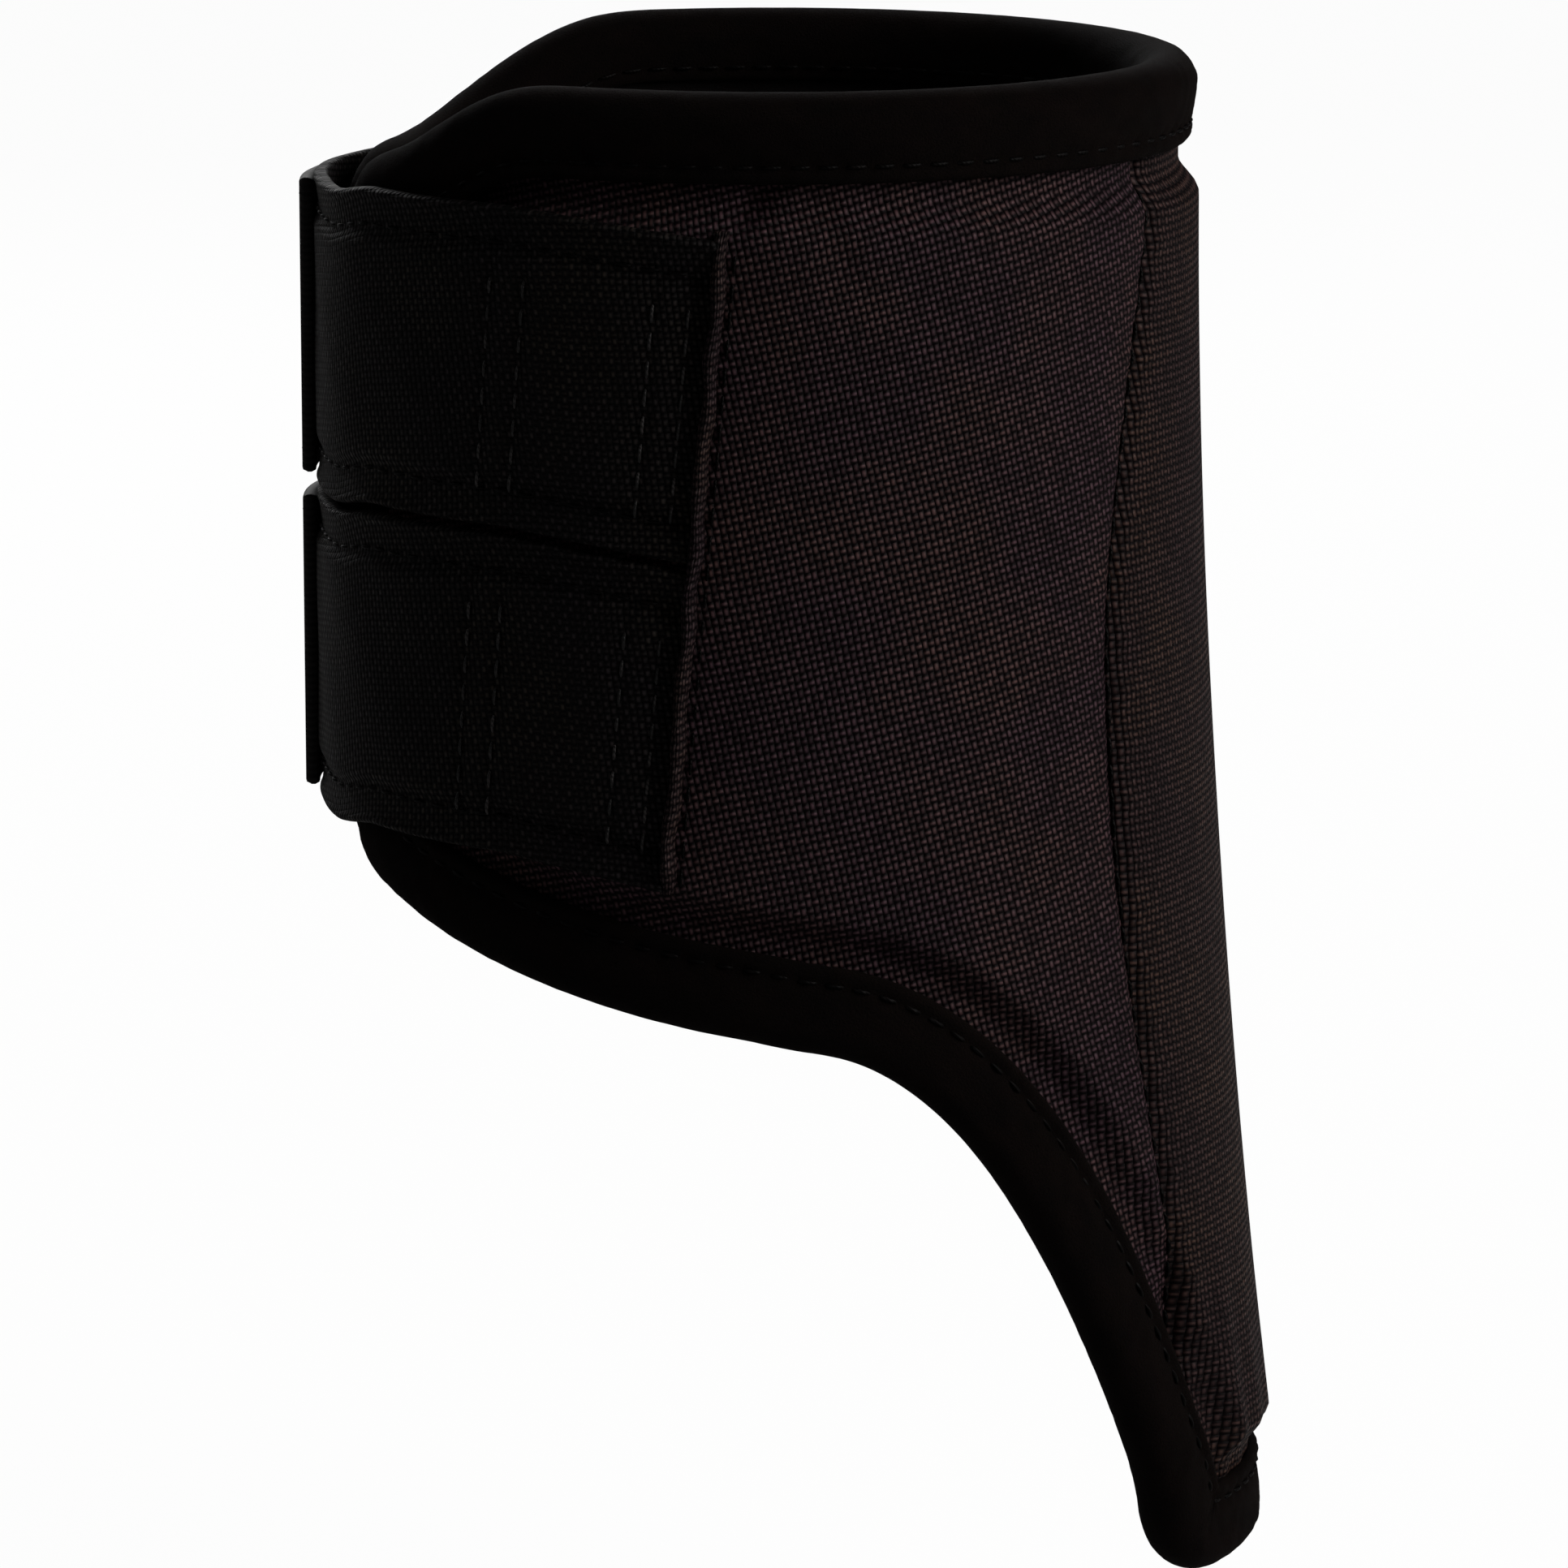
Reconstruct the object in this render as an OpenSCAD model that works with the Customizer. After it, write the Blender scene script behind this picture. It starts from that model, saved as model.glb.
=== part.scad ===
// Wrap-around leg boot for the hind fetlock of a horse: a padded cuff that
// closes in front with two peel-off straps, and a cupped tail behind.
// Origin: middle of the leg opening, level with the crest of the rim.
// +Z is up the leg, +X is the back of the leg, -X is the front closure.
// Places on the shell are given as an angle round the leg (0 at the back,
// -90 on the strap side), a height, and an offset out from the outer form.

/* [Boot form] */
// Reach of the outer form behind the leg axis at the rim
back_reach = 54; // [45:0.5:66]
// Reach of the outer form in front of the leg axis
front_reach = 56.5; // [47:0.5:68]
// Half width of the outer form across the leg at the rim
half_width = 48; // [40:0.5:58]
// Extra half width low down
low_swell = 4; // [0:0.5:6]
// Extra backward reach of the tail tip
tail_flare = 13; // [0:0.1:18]
// How far the tail tip is cupped back in
tip_cup = 2.2; // [0:0.1:4]

/* [Outline] */
// Depth of the tail tip below the rim
tail_depth = 195.5; // [160:0.5:236]
// Depth of the cuff's lower edge at the sides
side_depth = 119; // [108:0.5:142]
// Depth of the cuff's lower edge at the front
front_depth = 105.3; // [100:0.1:130]
// Angle round the leg over which the tail's flanks sweep down
tail_run = 55.3; // [46:0.1:64]
// Drop of the rim towards the front corner on the strap side
near_dip = 10.5; // [2:0.1:14]
// Drop of the rim towards the front corner on the plain side
far_dip = 13.4; // [2:0.1:14]
// Angle from the back to the front edge of the strap side wing
near_end = 170; // [162:0.5:175]
// Angle from the back to the front edge of the plain side wing
far_end = 176; // [168:0.5:178]
// Radius of the wing corners
corner_r = 13; // [12.5:0.5:16]
// Half angle of the rear panel at the rim
seam_top = 27; // [22:0.5:32]
// How much wider the rear panel is at its widest, in degrees
seam_swell = 13; // [5:0.5:16]
// How much narrower it is again at the tip, in degrees
seam_taper = 9; // [5:0.5:12]

/* [Padding] */
// Whole thickness of the padded wall
wall_t = 7.5; // [6.4:0.1:9]
// Thickness of the woven cover
cover_t = 1.2; // [0.8:0.1:1.4]
// Thickness of the brushed lining
lining_t = 1.3; // [0.8:0.1:1.5]
// Share of the rear padding that is the soft foam, the rest is the dense pad
foam_share = 0.6; // [0.4:0.05:0.75]

/* [Edge binding] */
// Height of the rim binding on the outside
top_band = 11; // [8:0.5:12]
// Height of the lower binding on the outside
low_band = 11.5; // [8:0.5:12]
// Thickness of the folded binding tape
fold_t = 1.55; // [1:0.05:1.9]
// How far the fold puffs out beyond its own thickness on the outside
fold_puff = 0.8; // [0:0.1:1]
// Depth that the cover is drawn in beneath a binding
sink = 2.7; // [2.2:0.1:3]
// Depth that the lining is drawn in beneath a binding
tuck = 0.9; // [0.5:0.1:1.2]

/* [Straps] */
// Depth of the upper strap's top edge below the rim
strap_top = 16; // [15:0.5:18]
// Width of each strap
strap_w = 40.2; // [33:0.1:41]
// Gap between the two straps
strap_gap = 1; // [0.8:0.1:3]
// How much lower the straps come out of their seam than they cross the front
strap_sweep = 1.8; // [0:0.1:4]
// How much higher they lie in between
strap_bow = 1.6; // [0:0.1:3]
// Thickness of each strap
strap_t = 2.2; // [1.6:0.1:3]
// Angle from the back to the seam that the straps come out of, at the rim
welt_angle = 95; // [90:0.5:105]
// Lean of that seam, in degrees per 100 mm of height
welt_lean = 9; // [0:0.5:12]
// Width of the rolled edge along that seam
welt_w = 2.2; // [1.6:0.1:3]
// Height of the rolled edge above the cover
welt_t = 3.4; // [2.4:0.1:4]
// Angle from the back at which a strap leaves the strap side wing
leave_angle = 168; // [164:0.5:170]
// Angle from leaving the wing to the second bend of the strap
bend_span = 32; // [28:0.5:36]
// Angle from that bend to the strap's end
end_span = 50; // [40:0.5:56]
// Radius of the strap's end corners
strap_r = 9; // [5:0.5:14]

/* [Tapes] */
// Margin that a strap leaves along both sides of its tapes
tape_margin = 1; // [0.5:0.05:4]
// Thickness of the hook tape and of the loop panel
hook_t = 0.8; // [0.6:0.1:1.2]
// Thickness of the outer tape
tape_t = 1.8; // [1:0.1:2.2]
// Angle past the front centre at which the outer tape starts
tape_start = 3; // [2:0.5:6]
// Margin of the loop panel round the straps
loop_margin = 0.5; // [0:0.5:3]
// Width of a pull tab
tab_w = 20; // [12:1:28]
// Length of a pull tab beyond its strap
tab_l = 11; // [8:0.5:16]
// Clearance between bodies that move against each other
gap = 0.3; // [0.2:0.05:0.5]

/* [Hidden] */
// The form starts to swell and flare at these depths, and has its full
// swell and flare at the others.
flare_from = 17;
flare_full = 196;
cup_from = 178;
cup_full = 192;
swell_from = 60;
swell_full = 150;
// The tail leaves the cuff at this angle. The rim starts to dip at the next
// two, on the strap side and on the plain side, and is down at the last.
tail_from = 90;
near_dip_from = 123;
far_dip_from = 112;
dip_full = 157;
// The shell's own edge stays this far below a binding's crest, and the
// binding's inside keeps this far from the shell's faces.
edge_in = 1.6;
band_gap = 0.2;
// Room left between pieces that are sewn face to face.
lay = 0.1;
// Where the cover is back at its full height, past a binding.
rise_from = 13.5;
rise_full = 18;
// The height at which the rim binding and the lower binding meet in front.
split_z = -(strap_top + strap_w + strap_gap / 2);
// The width of the hook and the outer tapes.
tape_w = strap_w - 2 * tape_margin;
// The drop of the rim binding's inside leg.
inner_leg = 9;
// The straps have bowed up in full this far from the front edge, and slope
// down to their seam from the next angle. The rolled edge along the seam runs
// on past them by the last.
bow_run = 18;
sweep_from = 127;
welt_over = 1.2;

// Form of the shell ---------------------------------------------------------

function ease(a, b, x) =
    let (s = min(1, max(0, (x - a) / (b - a)))) s * s * (3 - 2 * s);

function mix(a, b, s) = a + (b - a) * s;

function reach(p, z) = cos(p) < 0 ? front_reach : back_reach + tail_flare
    * pow(max(0, -z - flare_from) / (flare_full - flare_from), 1.8)
    - tip_cup * ease(cup_from, cup_full, -z);

function half(z) = half_width + low_swell * ease(swell_from, swell_full, -z);

// A place on the shell: angle, height, offset out from the outer form.
function at(p, z, t) =
    let (a = reach(p, z), b = half(z), n = [cos(p) / a, sin(p) / b])
    let (m = n / norm(n)) [a * cos(p) + t * m[0], b * sin(p) + t * m[1], z];

// Millimetres to a degree round the leg.
function pitch(p, z) = norm([reach(p, z) * sin(p), half(z) * cos(p)]) * PI / 180;

// Outline -------------------------------------------------------------------

function rim(p) = p < 0 ? -near_dip * ease(near_dip_from, dip_full, -p)
    : -far_dip * ease(far_dip_from, dip_full, p);

function hem(p) =
    let (q = abs(p), s = min(1, (q - tail_from) / 65))
    let (cuff = mix(side_depth, front_depth, s < 0 ? s / 2 : pow(s, 1.25)))
    let (g = pow(max(0.001, tail_from - q) / tail_run, 2.4))
    let (h = pow(pow(max(0.01, g), -12) + 1, -1 / 12))
    -(cuff + (tail_depth - cuff) * (q < tail_from ? h : 0));

// One wing corner, from the front edge round to the rim or the hem: centre
// angle, centre height, radius, and +1 for the rim or -1 for the hem.
function corner_at(e, up) =
    let (k = pitch(e, split_z))
    [e - sign(e) * corner_r / k, (up > 0 ? rim(e) : hem(e)) - up * corner_r, k];

function corner(e, up, n = 5) =
    let (c = corner_at(e, up))
    [for (i = [0:n]) let (a = i * 90 / n)
        [c[0] + sign(e) * corner_r / c[2] * cos(a), c[1] + up * corner_r * sin(a)]];

function spread(a, b, n) = [for (i = [1:n]) mix(a, b, i / n)];

function reversed(v) = [for (i = [len(v) - 1:-1:0]) v[i]];

function rim_path() = concat(
    [[-near_end, split_z + band_gap]],
    corner(-near_end, 1),
    [for (p = spread(corner_at(-near_end, 1)[0], corner_at(far_end, 1)[0], 46))
        [p, rim(p)]],
    reversed(corner(far_end, 1, 5)),
    [[far_end, split_z + band_gap]]);

function hem_side(e) =
    let (s = sign(e), c = corner_at(e, -1)[0])
    [for (p = concat(spread(c, s * 92, 11), spread(s * 92, s * 62, 7),
            spread(s * 62, s * 28, 13), spread(s * 28, 0, 4)))
        [p, hem(p)]];

function hem_path() =
    let (a = hem_side(-near_end), b = hem_side(far_end))
    concat([[-near_end, split_z - band_gap]], corner(-near_end, -1), a,
        [for (i = [len(b) - 2:-1:0]) b[i]], reversed(corner(far_end, -1)),
        [[far_end, split_z - band_gap]]);

function step(a, b) =
    [(b[0] - a[0]) * pitch((a[0] + b[0]) / 2, (a[1] + b[1]) / 2), b[1] - a[1]];

function unit(v) = v / max(0.0001, norm(v));

// Doubled points are dropped.
function clean(v) = [for (i = [0:len(v) - 1])
    if (i == 0 || norm(step(v[max(0, i - 1)], v[i])) > 0.2) v[i]];

RIM = clean(rim_path());
HEM = clean(hem_path());

// Shortest way from a place to an edge path, on the surface.
function to_piece(p, z, a, b, k) =
    let (u = [(b[0] - a[0]) * k, b[1] - a[1]], v = [(p - a[0]) * k, z - a[1]])
    let (s = min(1, max(0, (u * v) / max(0.0001, u * u)))) norm(v - s * u);

function to_path(p, z, path) =
    let (k = pitch(p, z), lim = 34)
    min(concat([60], [for (i = [0:len(path) - 2])
        if (abs(path[i][0] - p) * k < lim || abs(path[i + 1][0] - p) * k < lim)
            to_piece(p, z, path[i], path[i + 1], k)]));

function to_edge(p, z) = min(to_path(p, z, RIM), to_path(p, z, HEM));

// Layers of the wall --------------------------------------------------------

// Offsets of the layers' faces at a distance w from the nearest edge.
function out_face(w) = -sink * (1 - ease(rise_from, rise_full, w));
function in_face(w) = -wall_t + tuck * (1 - ease(inner_leg + 0.5, rise_full, w));
function layer(w, k) =
    let (o = out_face(w), i = in_face(w), a = i + lining_t, b = o - cover_t)
    k == 0 ? i : k == 1 ? a : k == 2 ? mix(a, b, foam_share) : k == 3 ? b : o;

// Slope factor of an edge: how much longer the way down is than across.
function lean(e, p) =
    let (d = (e > 0 ? rim(p + 1) - rim(p - 1) : hem(p + 1) - hem(p - 1)) / 2)
    min(6, norm([1, d / pitch(p, e > 0 ? rim(p) : hem(p))]));

// The shell's own upper and lower edge at an angle.
function shell_edge(p, up) =
    let (e = p < 0 ? -near_end : far_end, c = corner_at(e, up))
    let (d = (abs(p) - abs(c[0])) * c[2], r = corner_r - edge_in)
    d > 0 ? c[1] + up * sqrt(max(0, r * r - min(r, d) * min(r, d)))
        : (up > 0 ? rim(p) : hem(p)) - up * edge_in * lean(up, p);

// Rows of the shell from the hem to the rim at an angle.
near_edge = [0, inner_leg + 0.2 - edge_in, rise_from - edge_in,
    (rise_from + rise_full) / 2 - edge_in, rise_full - edge_in];
function row_z(p, j) =
    let (lo = shell_edge(p, -1), hi = shell_edge(p, 1), n = len(near_edge))
    let (a = lo + near_edge[n - 1] * lean(-1, p), b = hi - near_edge[n - 1] * lean(1, p))
    j < n ? lo + near_edge[j] * lean(-1, p)
        : j < n + 5 ? mix(a, b, (j - n + 1) / 6)
        : hi - near_edge[2 * n + 4 - j] * lean(1, p);
rows = 2 * len(near_edge) + 4;

// Half angle of the rear panel on row j.
function seam(j) =
    let (d = -row_z(0, j))
    seam_top + seam_swell * ease(5, 75, d) - seam_taper * ease(90, 180, d);

// Columns of one wing, from its front edge back to the seam, on row j.
function wing_cols(e, j) =
    let (k = pitch(e, split_z), s = sign(e), q = abs(e) - rise_full / k)
    concat([for (w = [edge_in, 5.4, inner_leg + 0.2, 11.4, rise_from, 15.8])
            s * (abs(e) - w / k)],
        [for (i = [0:7]) s * mix(q, tail_from + 4, i / 7)],
        [for (i = [1:5]) s * mix(tail_from + 4, tail_from - 22, i / 5)],
        [for (i = [1:9]) s * mix(tail_from - 22, seam(j), i / 9)]);

function rear_cols(j) = [for (i = [0:10]) mix(-seam(j), seam(j), i / 10)];

function face_grid(cols, k) =
    [for (j = [0:rows]) [for (p = cols[j])
        let (z = row_z(p, j)) at(p, z, layer(to_edge(p, z), k))]];

near_cols = [for (j = [0:rows]) wing_cols(-near_end, j)];
far_cols = [for (j = [0:rows]) reversed(wing_cols(far_end, j))];
back_cols = [for (j = [0:rows]) rear_cols(j)];
all_cols = [for (j = [0:rows]) concat(near_cols[j],
    [for (i = [1:9]) back_cols[j][i]], far_cols[j])];

// Solid between two grids of points, with walls round its edges. Rows run
// up and columns run with the angle on an outward face.
module thick_sheet(o, i, flip = false) {
    m = len(o);
    n = len(o[0]);
    q = m * n;
    function id(r, c) = r * n + c;
    quads = concat(
        [for (r = [0:m - 2], c = [0:n - 2])
            [id(r, c), id(r + 1, c), id(r + 1, c + 1), id(r, c + 1)]],
        [for (r = [0:m - 2], c = [0:n - 2])
            [q + id(r, c + 1), q + id(r + 1, c + 1), q + id(r + 1, c), q + id(r, c)]],
        [for (r = [0:m - 2]) [id(r, 0), q + id(r, 0), q + id(r + 1, 0), id(r + 1, 0)]],
        [for (r = [0:m - 2]) [id(r, n - 1), id(r + 1, n - 1),
            q + id(r + 1, n - 1), q + id(r, n - 1)]],
        [for (c = [0:n - 2]) [id(0, c), id(0, c + 1), q + id(0, c + 1), q + id(0, c)]],
        [for (c = [0:n - 2]) [id(m - 1, c + 1), id(m - 1, c),
            q + id(m - 1, c), q + id(m - 1, c + 1)]]);
    // The inner face is cut along the same diagonal as the outer one.
    count = (m - 1) * (n - 1);
    tris = [for (f = [0:len(quads) - 1]) let (a = quads[f])
        each (f >= count && f < 2 * count
            ? [[a[0], a[1], a[3]], [a[1], a[2], a[3]]]
            : [[a[0], a[1], a[2]], [a[0], a[2], a[3]]])];
    polyhedron(
        points = concat([for (r = o) each r], [for (r = i) each r]),
        faces = flip ? [for (t = tris) [t[2], t[1], t[0]]] : tris,
        convexity = 10);
}

// Layer of the shell between two of its faces.
module shell_layer(cols, inner, outer) {
    thick_sheet(face_grid(cols, outer), face_grid(cols, inner));
}

// Edge bindings -------------------------------------------------------------

// Section of a folded binding: way in from the crest, offset. The two lists
// run along its outside and its inside.
fold_out = -sink + fold_t + fold_puff;
fold_in = -wall_t + tuck - fold_t;
function band_out(w) =
    let (r = (fold_out - fold_in) / 2, m = fold_out - r)
    [[w, -sink + 1.7], [mix(w, r, 0.55), m + r - 0.55], [r, m + r],
        [r * 0.32, m + r * 0.72], [0, m], [r * 0.32, m - r * 0.72],
        [r, m - r], [inner_leg, m - r + 0.3]];
function band_in(w) =
    let (r = (fold_out - fold_in) / 2, m = fold_out - r)
    let (o = -sink + band_gap, i = -wall_t + tuck - band_gap)
    [[w, o], [mix(w, r, 0.55), o], [r, o], [edge_in - 0.25, o - 0.1],
        [edge_in - 0.35, m], [edge_in - 0.25, i + 0.1], [r, i], [inner_leg, i]];

// up is 1 for the rim, whose shell lies below, and -1 for the hem.
module binding(path, w, up) {
    n = len(path);
    function side(i) =
        let (a = i > 0 ? unit(step(path[i - 1], path[i])) : [0, 0])
        let (b = i < n - 1 ? unit(step(path[i], path[i + 1])) : [0, 0])
        let (t = unit(a + b)) up * [t[1], -t[0]];
    function ring(i, sec) =
        let (v = side(i), c = path[i], k = pitch(c[0], c[1]))
        [for (s = sec) at(c[0] + v[0] * s[0] / k, c[1] + v[1] * s[0], s[1])];
    thick_sheet([for (i = [0:n - 1]) ring(i, band_out(w))],
        [for (i = [0:n - 1]) ring(i, band_in(w))], up > 0);
}

// Straps --------------------------------------------------------------------

function strap_z(i) = -strap_top - i * (strap_w + strap_gap);
p_leave = -leave_angle;
p_bend = p_leave - bend_span;
p_end = p_bend - end_span;
hinge_gap = gap / pitch(p_leave, split_z) / 2;
bend_gap = gap / pitch(p_bend, split_z) / 2;

// A strap's inner face lies on the strap side wing and climbs over the loop
// panel and its own hook tape on the other side.
lift = 2 * hook_t + gap;
function strap_in(p) = lift * ease(-p_leave + 4, -p_bend - 2, -p);
function strap_out(p) = strap_in(p) + strap_t;

function welt_at(z) = -welt_angle + welt_lean * z / 100;

// Height of a strap over its own level between the front edge and its seam.
function sweep(p, z) = strap_bow * ease(3, bow_run, p + leave_angle)
    - (strap_bow + strap_sweep)
    * pow(max(0, (p + sweep_from) / (sweep_from + welt_at(z))), 1.25);

// Piece of a strap or tape between angles a (front or far side) and b, and
// heights z0 and z1, with offsets above a strap's inner face.
module strap_piece(a, b, z0, z1, t0, t1, cols, round_r = 0) {
    zs = [for (j = [0:6]) let (s = j / 6) mix(z0, z1, (1 - cos(180 * s)) / 2)];
    function first(z) =
        let (d = max(0, round_r - min(z - z0, z1 - z)))
        a + (round_r - sqrt(max(0, round_r * round_r - d * d))) / pitch(a, z);
    function grid(t) = [for (z = zs) [for (c = [0:cols])
        let (p = mix(first(z), b, c / cols)) at(p, z, strap_in(p) + t)]];
    thick_sheet(grid(t1), grid(t0));
}

module strap_base(i) {
    z1 = strap_z(i);
    z0 = z1 - strap_w;
    function last(z) = welt_at(z - strap_sweep)
        - welt_w / 2 / pitch(welt_at(z), z - strap_sweep);
    zs = [for (j = [0:4]) mix(z0, z1, j / 4)];
    function grid(t) = [for (z = zs)
        [for (p = concat([p_leave + hinge_gap], spread(p_leave + hinge_gap, last(z), 15)))
            at(p, z + sweep(p, z), t)]];
    thick_sheet(grid(strap_t), grid(lay));
}

module strap_bend(i) {
    z1 = strap_z(i);
    strap_piece(p_bend + bend_gap, p_leave - hinge_gap, z1 - strap_w, z1,
        0, strap_t, 9);
}

module strap_end(i) {
    z1 = strap_z(i);
    strap_piece(p_end, p_bend - bend_gap, z1 - strap_w, z1, 0, strap_t, 12, strap_r);
}

// Tape on the outer face of the bend and of the end.
module front_tape(i) {
    z1 = strap_z(i) - (strap_w - tape_w) / 2;
    strap_piece(p_bend + 3, -180 - tape_start, z1 - tape_w, z1,
        strap_t + lay, strap_t + tape_t, 4);
}

module back_tape(i) {
    z1 = strap_z(i) - (strap_w - tape_w) / 2;
    strap_piece(p_end + strap_r, p_bend - 3, z1 - tape_w, z1,
        strap_t + lay, strap_t + tape_t, 8);
}

// Hook tape on the inner face of the end.
module hook_tape(i) {
    z1 = strap_z(i) - (strap_w - tape_w) / 2;
    strap_piece(p_end + strap_r + 1, p_bend - 4, z1 - tape_w, z1, -hook_t, -lay, 8);
}

module pull_tab(i) {
    z1 = strap_z(i) - (strap_w - tab_w) / 2;
    k = pitch(p_end, z1);
    strap_piece(p_end - tab_l / k, p_end, z1 - tab_w, z1, 0.2, strap_t - 0.2, 3, 4);
}

// Sub-parts -----------------------------------------------------------------

module near_cover() { color([0.11, 0.10, 0.10]) shell_layer(near_cols, 3, 4); }
module rear_cover() { color([0.13, 0.12, 0.11]) shell_layer(back_cols, 3, 4); }
module far_cover() { color([0.11, 0.10, 0.10]) shell_layer(far_cols, 3, 4); }
module near_foam() { color([0.30, 0.30, 0.32]) shell_layer(near_cols, 1, 3); }
module rear_foam() { color([0.30, 0.30, 0.32]) shell_layer(back_cols, 1, 2); }
module far_foam() { color([0.30, 0.30, 0.32]) shell_layer(far_cols, 1, 3); }
module rear_pad() { color([0.20, 0.20, 0.21]) shell_layer(back_cols, 2, 3); }
module lining() { color([0.10, 0.09, 0.09]) shell_layer(all_cols, 0, 1); }
module top_binding() { color([0.15, 0.13, 0.12]) binding(RIM, top_band, 1); }
module lower_binding() { color([0.15, 0.13, 0.12]) binding(HEM, low_band, -1); }

// Rolled edge along the seam that both straps come out of.
module strap_welt() {
    z1 = strap_z(0) - strap_sweep + welt_over;
    z0 = strap_z(1) - strap_w - strap_sweep - welt_over / 2;
    zs = [for (j = [0:10]) mix(z0, z1, j / 10)];
    function high(j) = welt_t * (j == 0 || j == 10 ? 0.35 : j == 1 ? 0.9 : 1);
    function grid(up) = [for (j = [0:10]) let (z = zs[j], c = welt_at(z))
        [for (a = [0:30:180]) let (w = -cos(a) * welt_w / 2)
            at(c + w / pitch(c, z), z, up ? (a == 0 || a == 180 ? 0.4 : 0)
                + high(j) * sin(a) : 0)]];
    color([0.12, 0.11, 0.11]) thick_sheet(grid(true), grid(false));
}

// Loop panel on the plain side wing, under the strap ends.
module loop_panel() {
    z1 = strap_z(0) + loop_margin;
    z0 = strap_z(1) - strap_w - loop_margin;
    a = p_end - (tab_l + loop_margin) / pitch(p_end, split_z);
    zs = [for (j = [0:6]) mix(z0, z1, j / 6)];
    k = pitch(far_end, split_z);
    b = -360 + far_end - rise_full / k;
    function grid(t) = [for (z = zs) [for (c = [0:14])
        let (p = mix(a, b, c / 14)) at(p, z, t)]];
    color([0.09, 0.08, 0.08]) thick_sheet(grid(hook_t), grid(lay));
}

module upper_strap_base() { color([0.09, 0.085, 0.085]) strap_base(0); }
module lower_strap_base() { color([0.09, 0.085, 0.085]) strap_base(1); }
module upper_strap_bend() { color([0.09, 0.085, 0.085]) strap_bend(0); }
module lower_strap_bend() { color([0.09, 0.085, 0.085]) strap_bend(1); }
module upper_strap_end() { color([0.09, 0.085, 0.085]) strap_end(0); }
module lower_strap_end() { color([0.09, 0.085, 0.085]) strap_end(1); }
module upper_front_tape() { color([0.07, 0.065, 0.065]) front_tape(0); }
module lower_front_tape() { color([0.07, 0.065, 0.065]) front_tape(1); }
module upper_back_tape() { color([0.07, 0.065, 0.065]) back_tape(0); }
module lower_back_tape() { color([0.07, 0.065, 0.065]) back_tape(1); }
module upper_hook_tape() { color([0.06, 0.06, 0.06]) hook_tape(0); }
module lower_hook_tape() { color([0.06, 0.06, 0.06]) hook_tape(1); }
module upper_pull_tab() { color([0.08, 0.08, 0.08]) pull_tab(0); }
module lower_pull_tab() { color([0.08, 0.08, 0.08]) pull_tab(1); }

near_cover();
rear_cover();
far_cover();
near_foam();
rear_foam();
far_foam();
rear_pad();
lining();
top_binding();
lower_binding();
strap_welt();
loop_panel();
upper_strap_base();
lower_strap_base();
upper_strap_bend();
lower_strap_bend();
upper_strap_end();
lower_strap_end();
upper_front_tape();
lower_front_tape();
upper_back_tape();
lower_back_tape();
upper_hook_tape();
lower_hook_tape();
upper_pull_tab();
lower_pull_tab();
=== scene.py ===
import bpy
import bmesh
import numpy as np
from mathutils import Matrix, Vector


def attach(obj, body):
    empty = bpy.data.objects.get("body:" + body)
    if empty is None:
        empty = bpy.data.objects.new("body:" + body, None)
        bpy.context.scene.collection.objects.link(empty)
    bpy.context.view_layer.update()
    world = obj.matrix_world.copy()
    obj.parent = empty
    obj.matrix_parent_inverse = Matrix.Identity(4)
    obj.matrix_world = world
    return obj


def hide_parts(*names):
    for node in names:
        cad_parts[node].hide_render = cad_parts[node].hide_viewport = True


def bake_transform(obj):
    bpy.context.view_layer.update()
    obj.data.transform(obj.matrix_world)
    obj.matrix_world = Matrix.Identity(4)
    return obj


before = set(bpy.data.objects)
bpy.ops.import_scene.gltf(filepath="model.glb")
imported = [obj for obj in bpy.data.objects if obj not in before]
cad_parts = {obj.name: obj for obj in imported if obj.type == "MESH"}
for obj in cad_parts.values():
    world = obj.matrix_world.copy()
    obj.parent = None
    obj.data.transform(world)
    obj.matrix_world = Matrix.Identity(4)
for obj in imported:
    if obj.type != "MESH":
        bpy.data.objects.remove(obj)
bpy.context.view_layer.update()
studio = bpy.context.scene
studio.view_settings.view_transform = "Standard"


# The lining ------------------------------------------------------------------
# Brushed knit with a short pile, bonded to the inside of the foam and caught
# under the bindings. It is cut in one piece, from front edge to front edge.

# Places on the boot are an angle round the leg (0 at the back, -90 on the
# strap side), a height and an offset out from the outer form, in degrees and mm.
BACK_REACH, FRONT_REACH, HALF_WIDTH = 54.0, 56.5, 48.0
FLARE, FLARE_FROM, TIP_PULL, LOW_SPREAD = 13, 17, 2.2, 4
NEAR_DIP, FAR_DIP, DIP_FULL = 10.5, 13.4, 157
CUFF_SIDE, CUFF_FRONT, TAIL_DEPTH = 119, 105.3, 195.5
NEAR_END, FAR_END, CORNER_R, SPLIT_Z = 170.0, 176.0, 13.0, -56.7
# The wall, the lining's share of it, how far the cover sinks and the inside
# tucks in under a binding, and how far the wall's edge stops from the crest.
WALL, LINING, SINK, TUCK, EDGE_IN = 7.5, 1.3, 2.7, 0.9, 1.6


def ease(a, b, x):
    """Soft step from 0 at a to 1 at b."""
    s = np.clip((np.asarray(x, float) - a) / (b - a), 0, 1)
    return s * s * (3 - 2 * s)


def mix(a, b, s):
    return a + (b - a) * s


def reach(p, z):
    """Half length of the boot: the tail flares out and turns in at its tip."""
    back = (BACK_REACH + FLARE * (np.maximum(0, -z - FLARE_FROM) / 179) ** 1.8
            - TIP_PULL * ease(178, 192, -z))
    return np.where(np.cos(np.radians(p)) < 0, FRONT_REACH, back)


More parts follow.
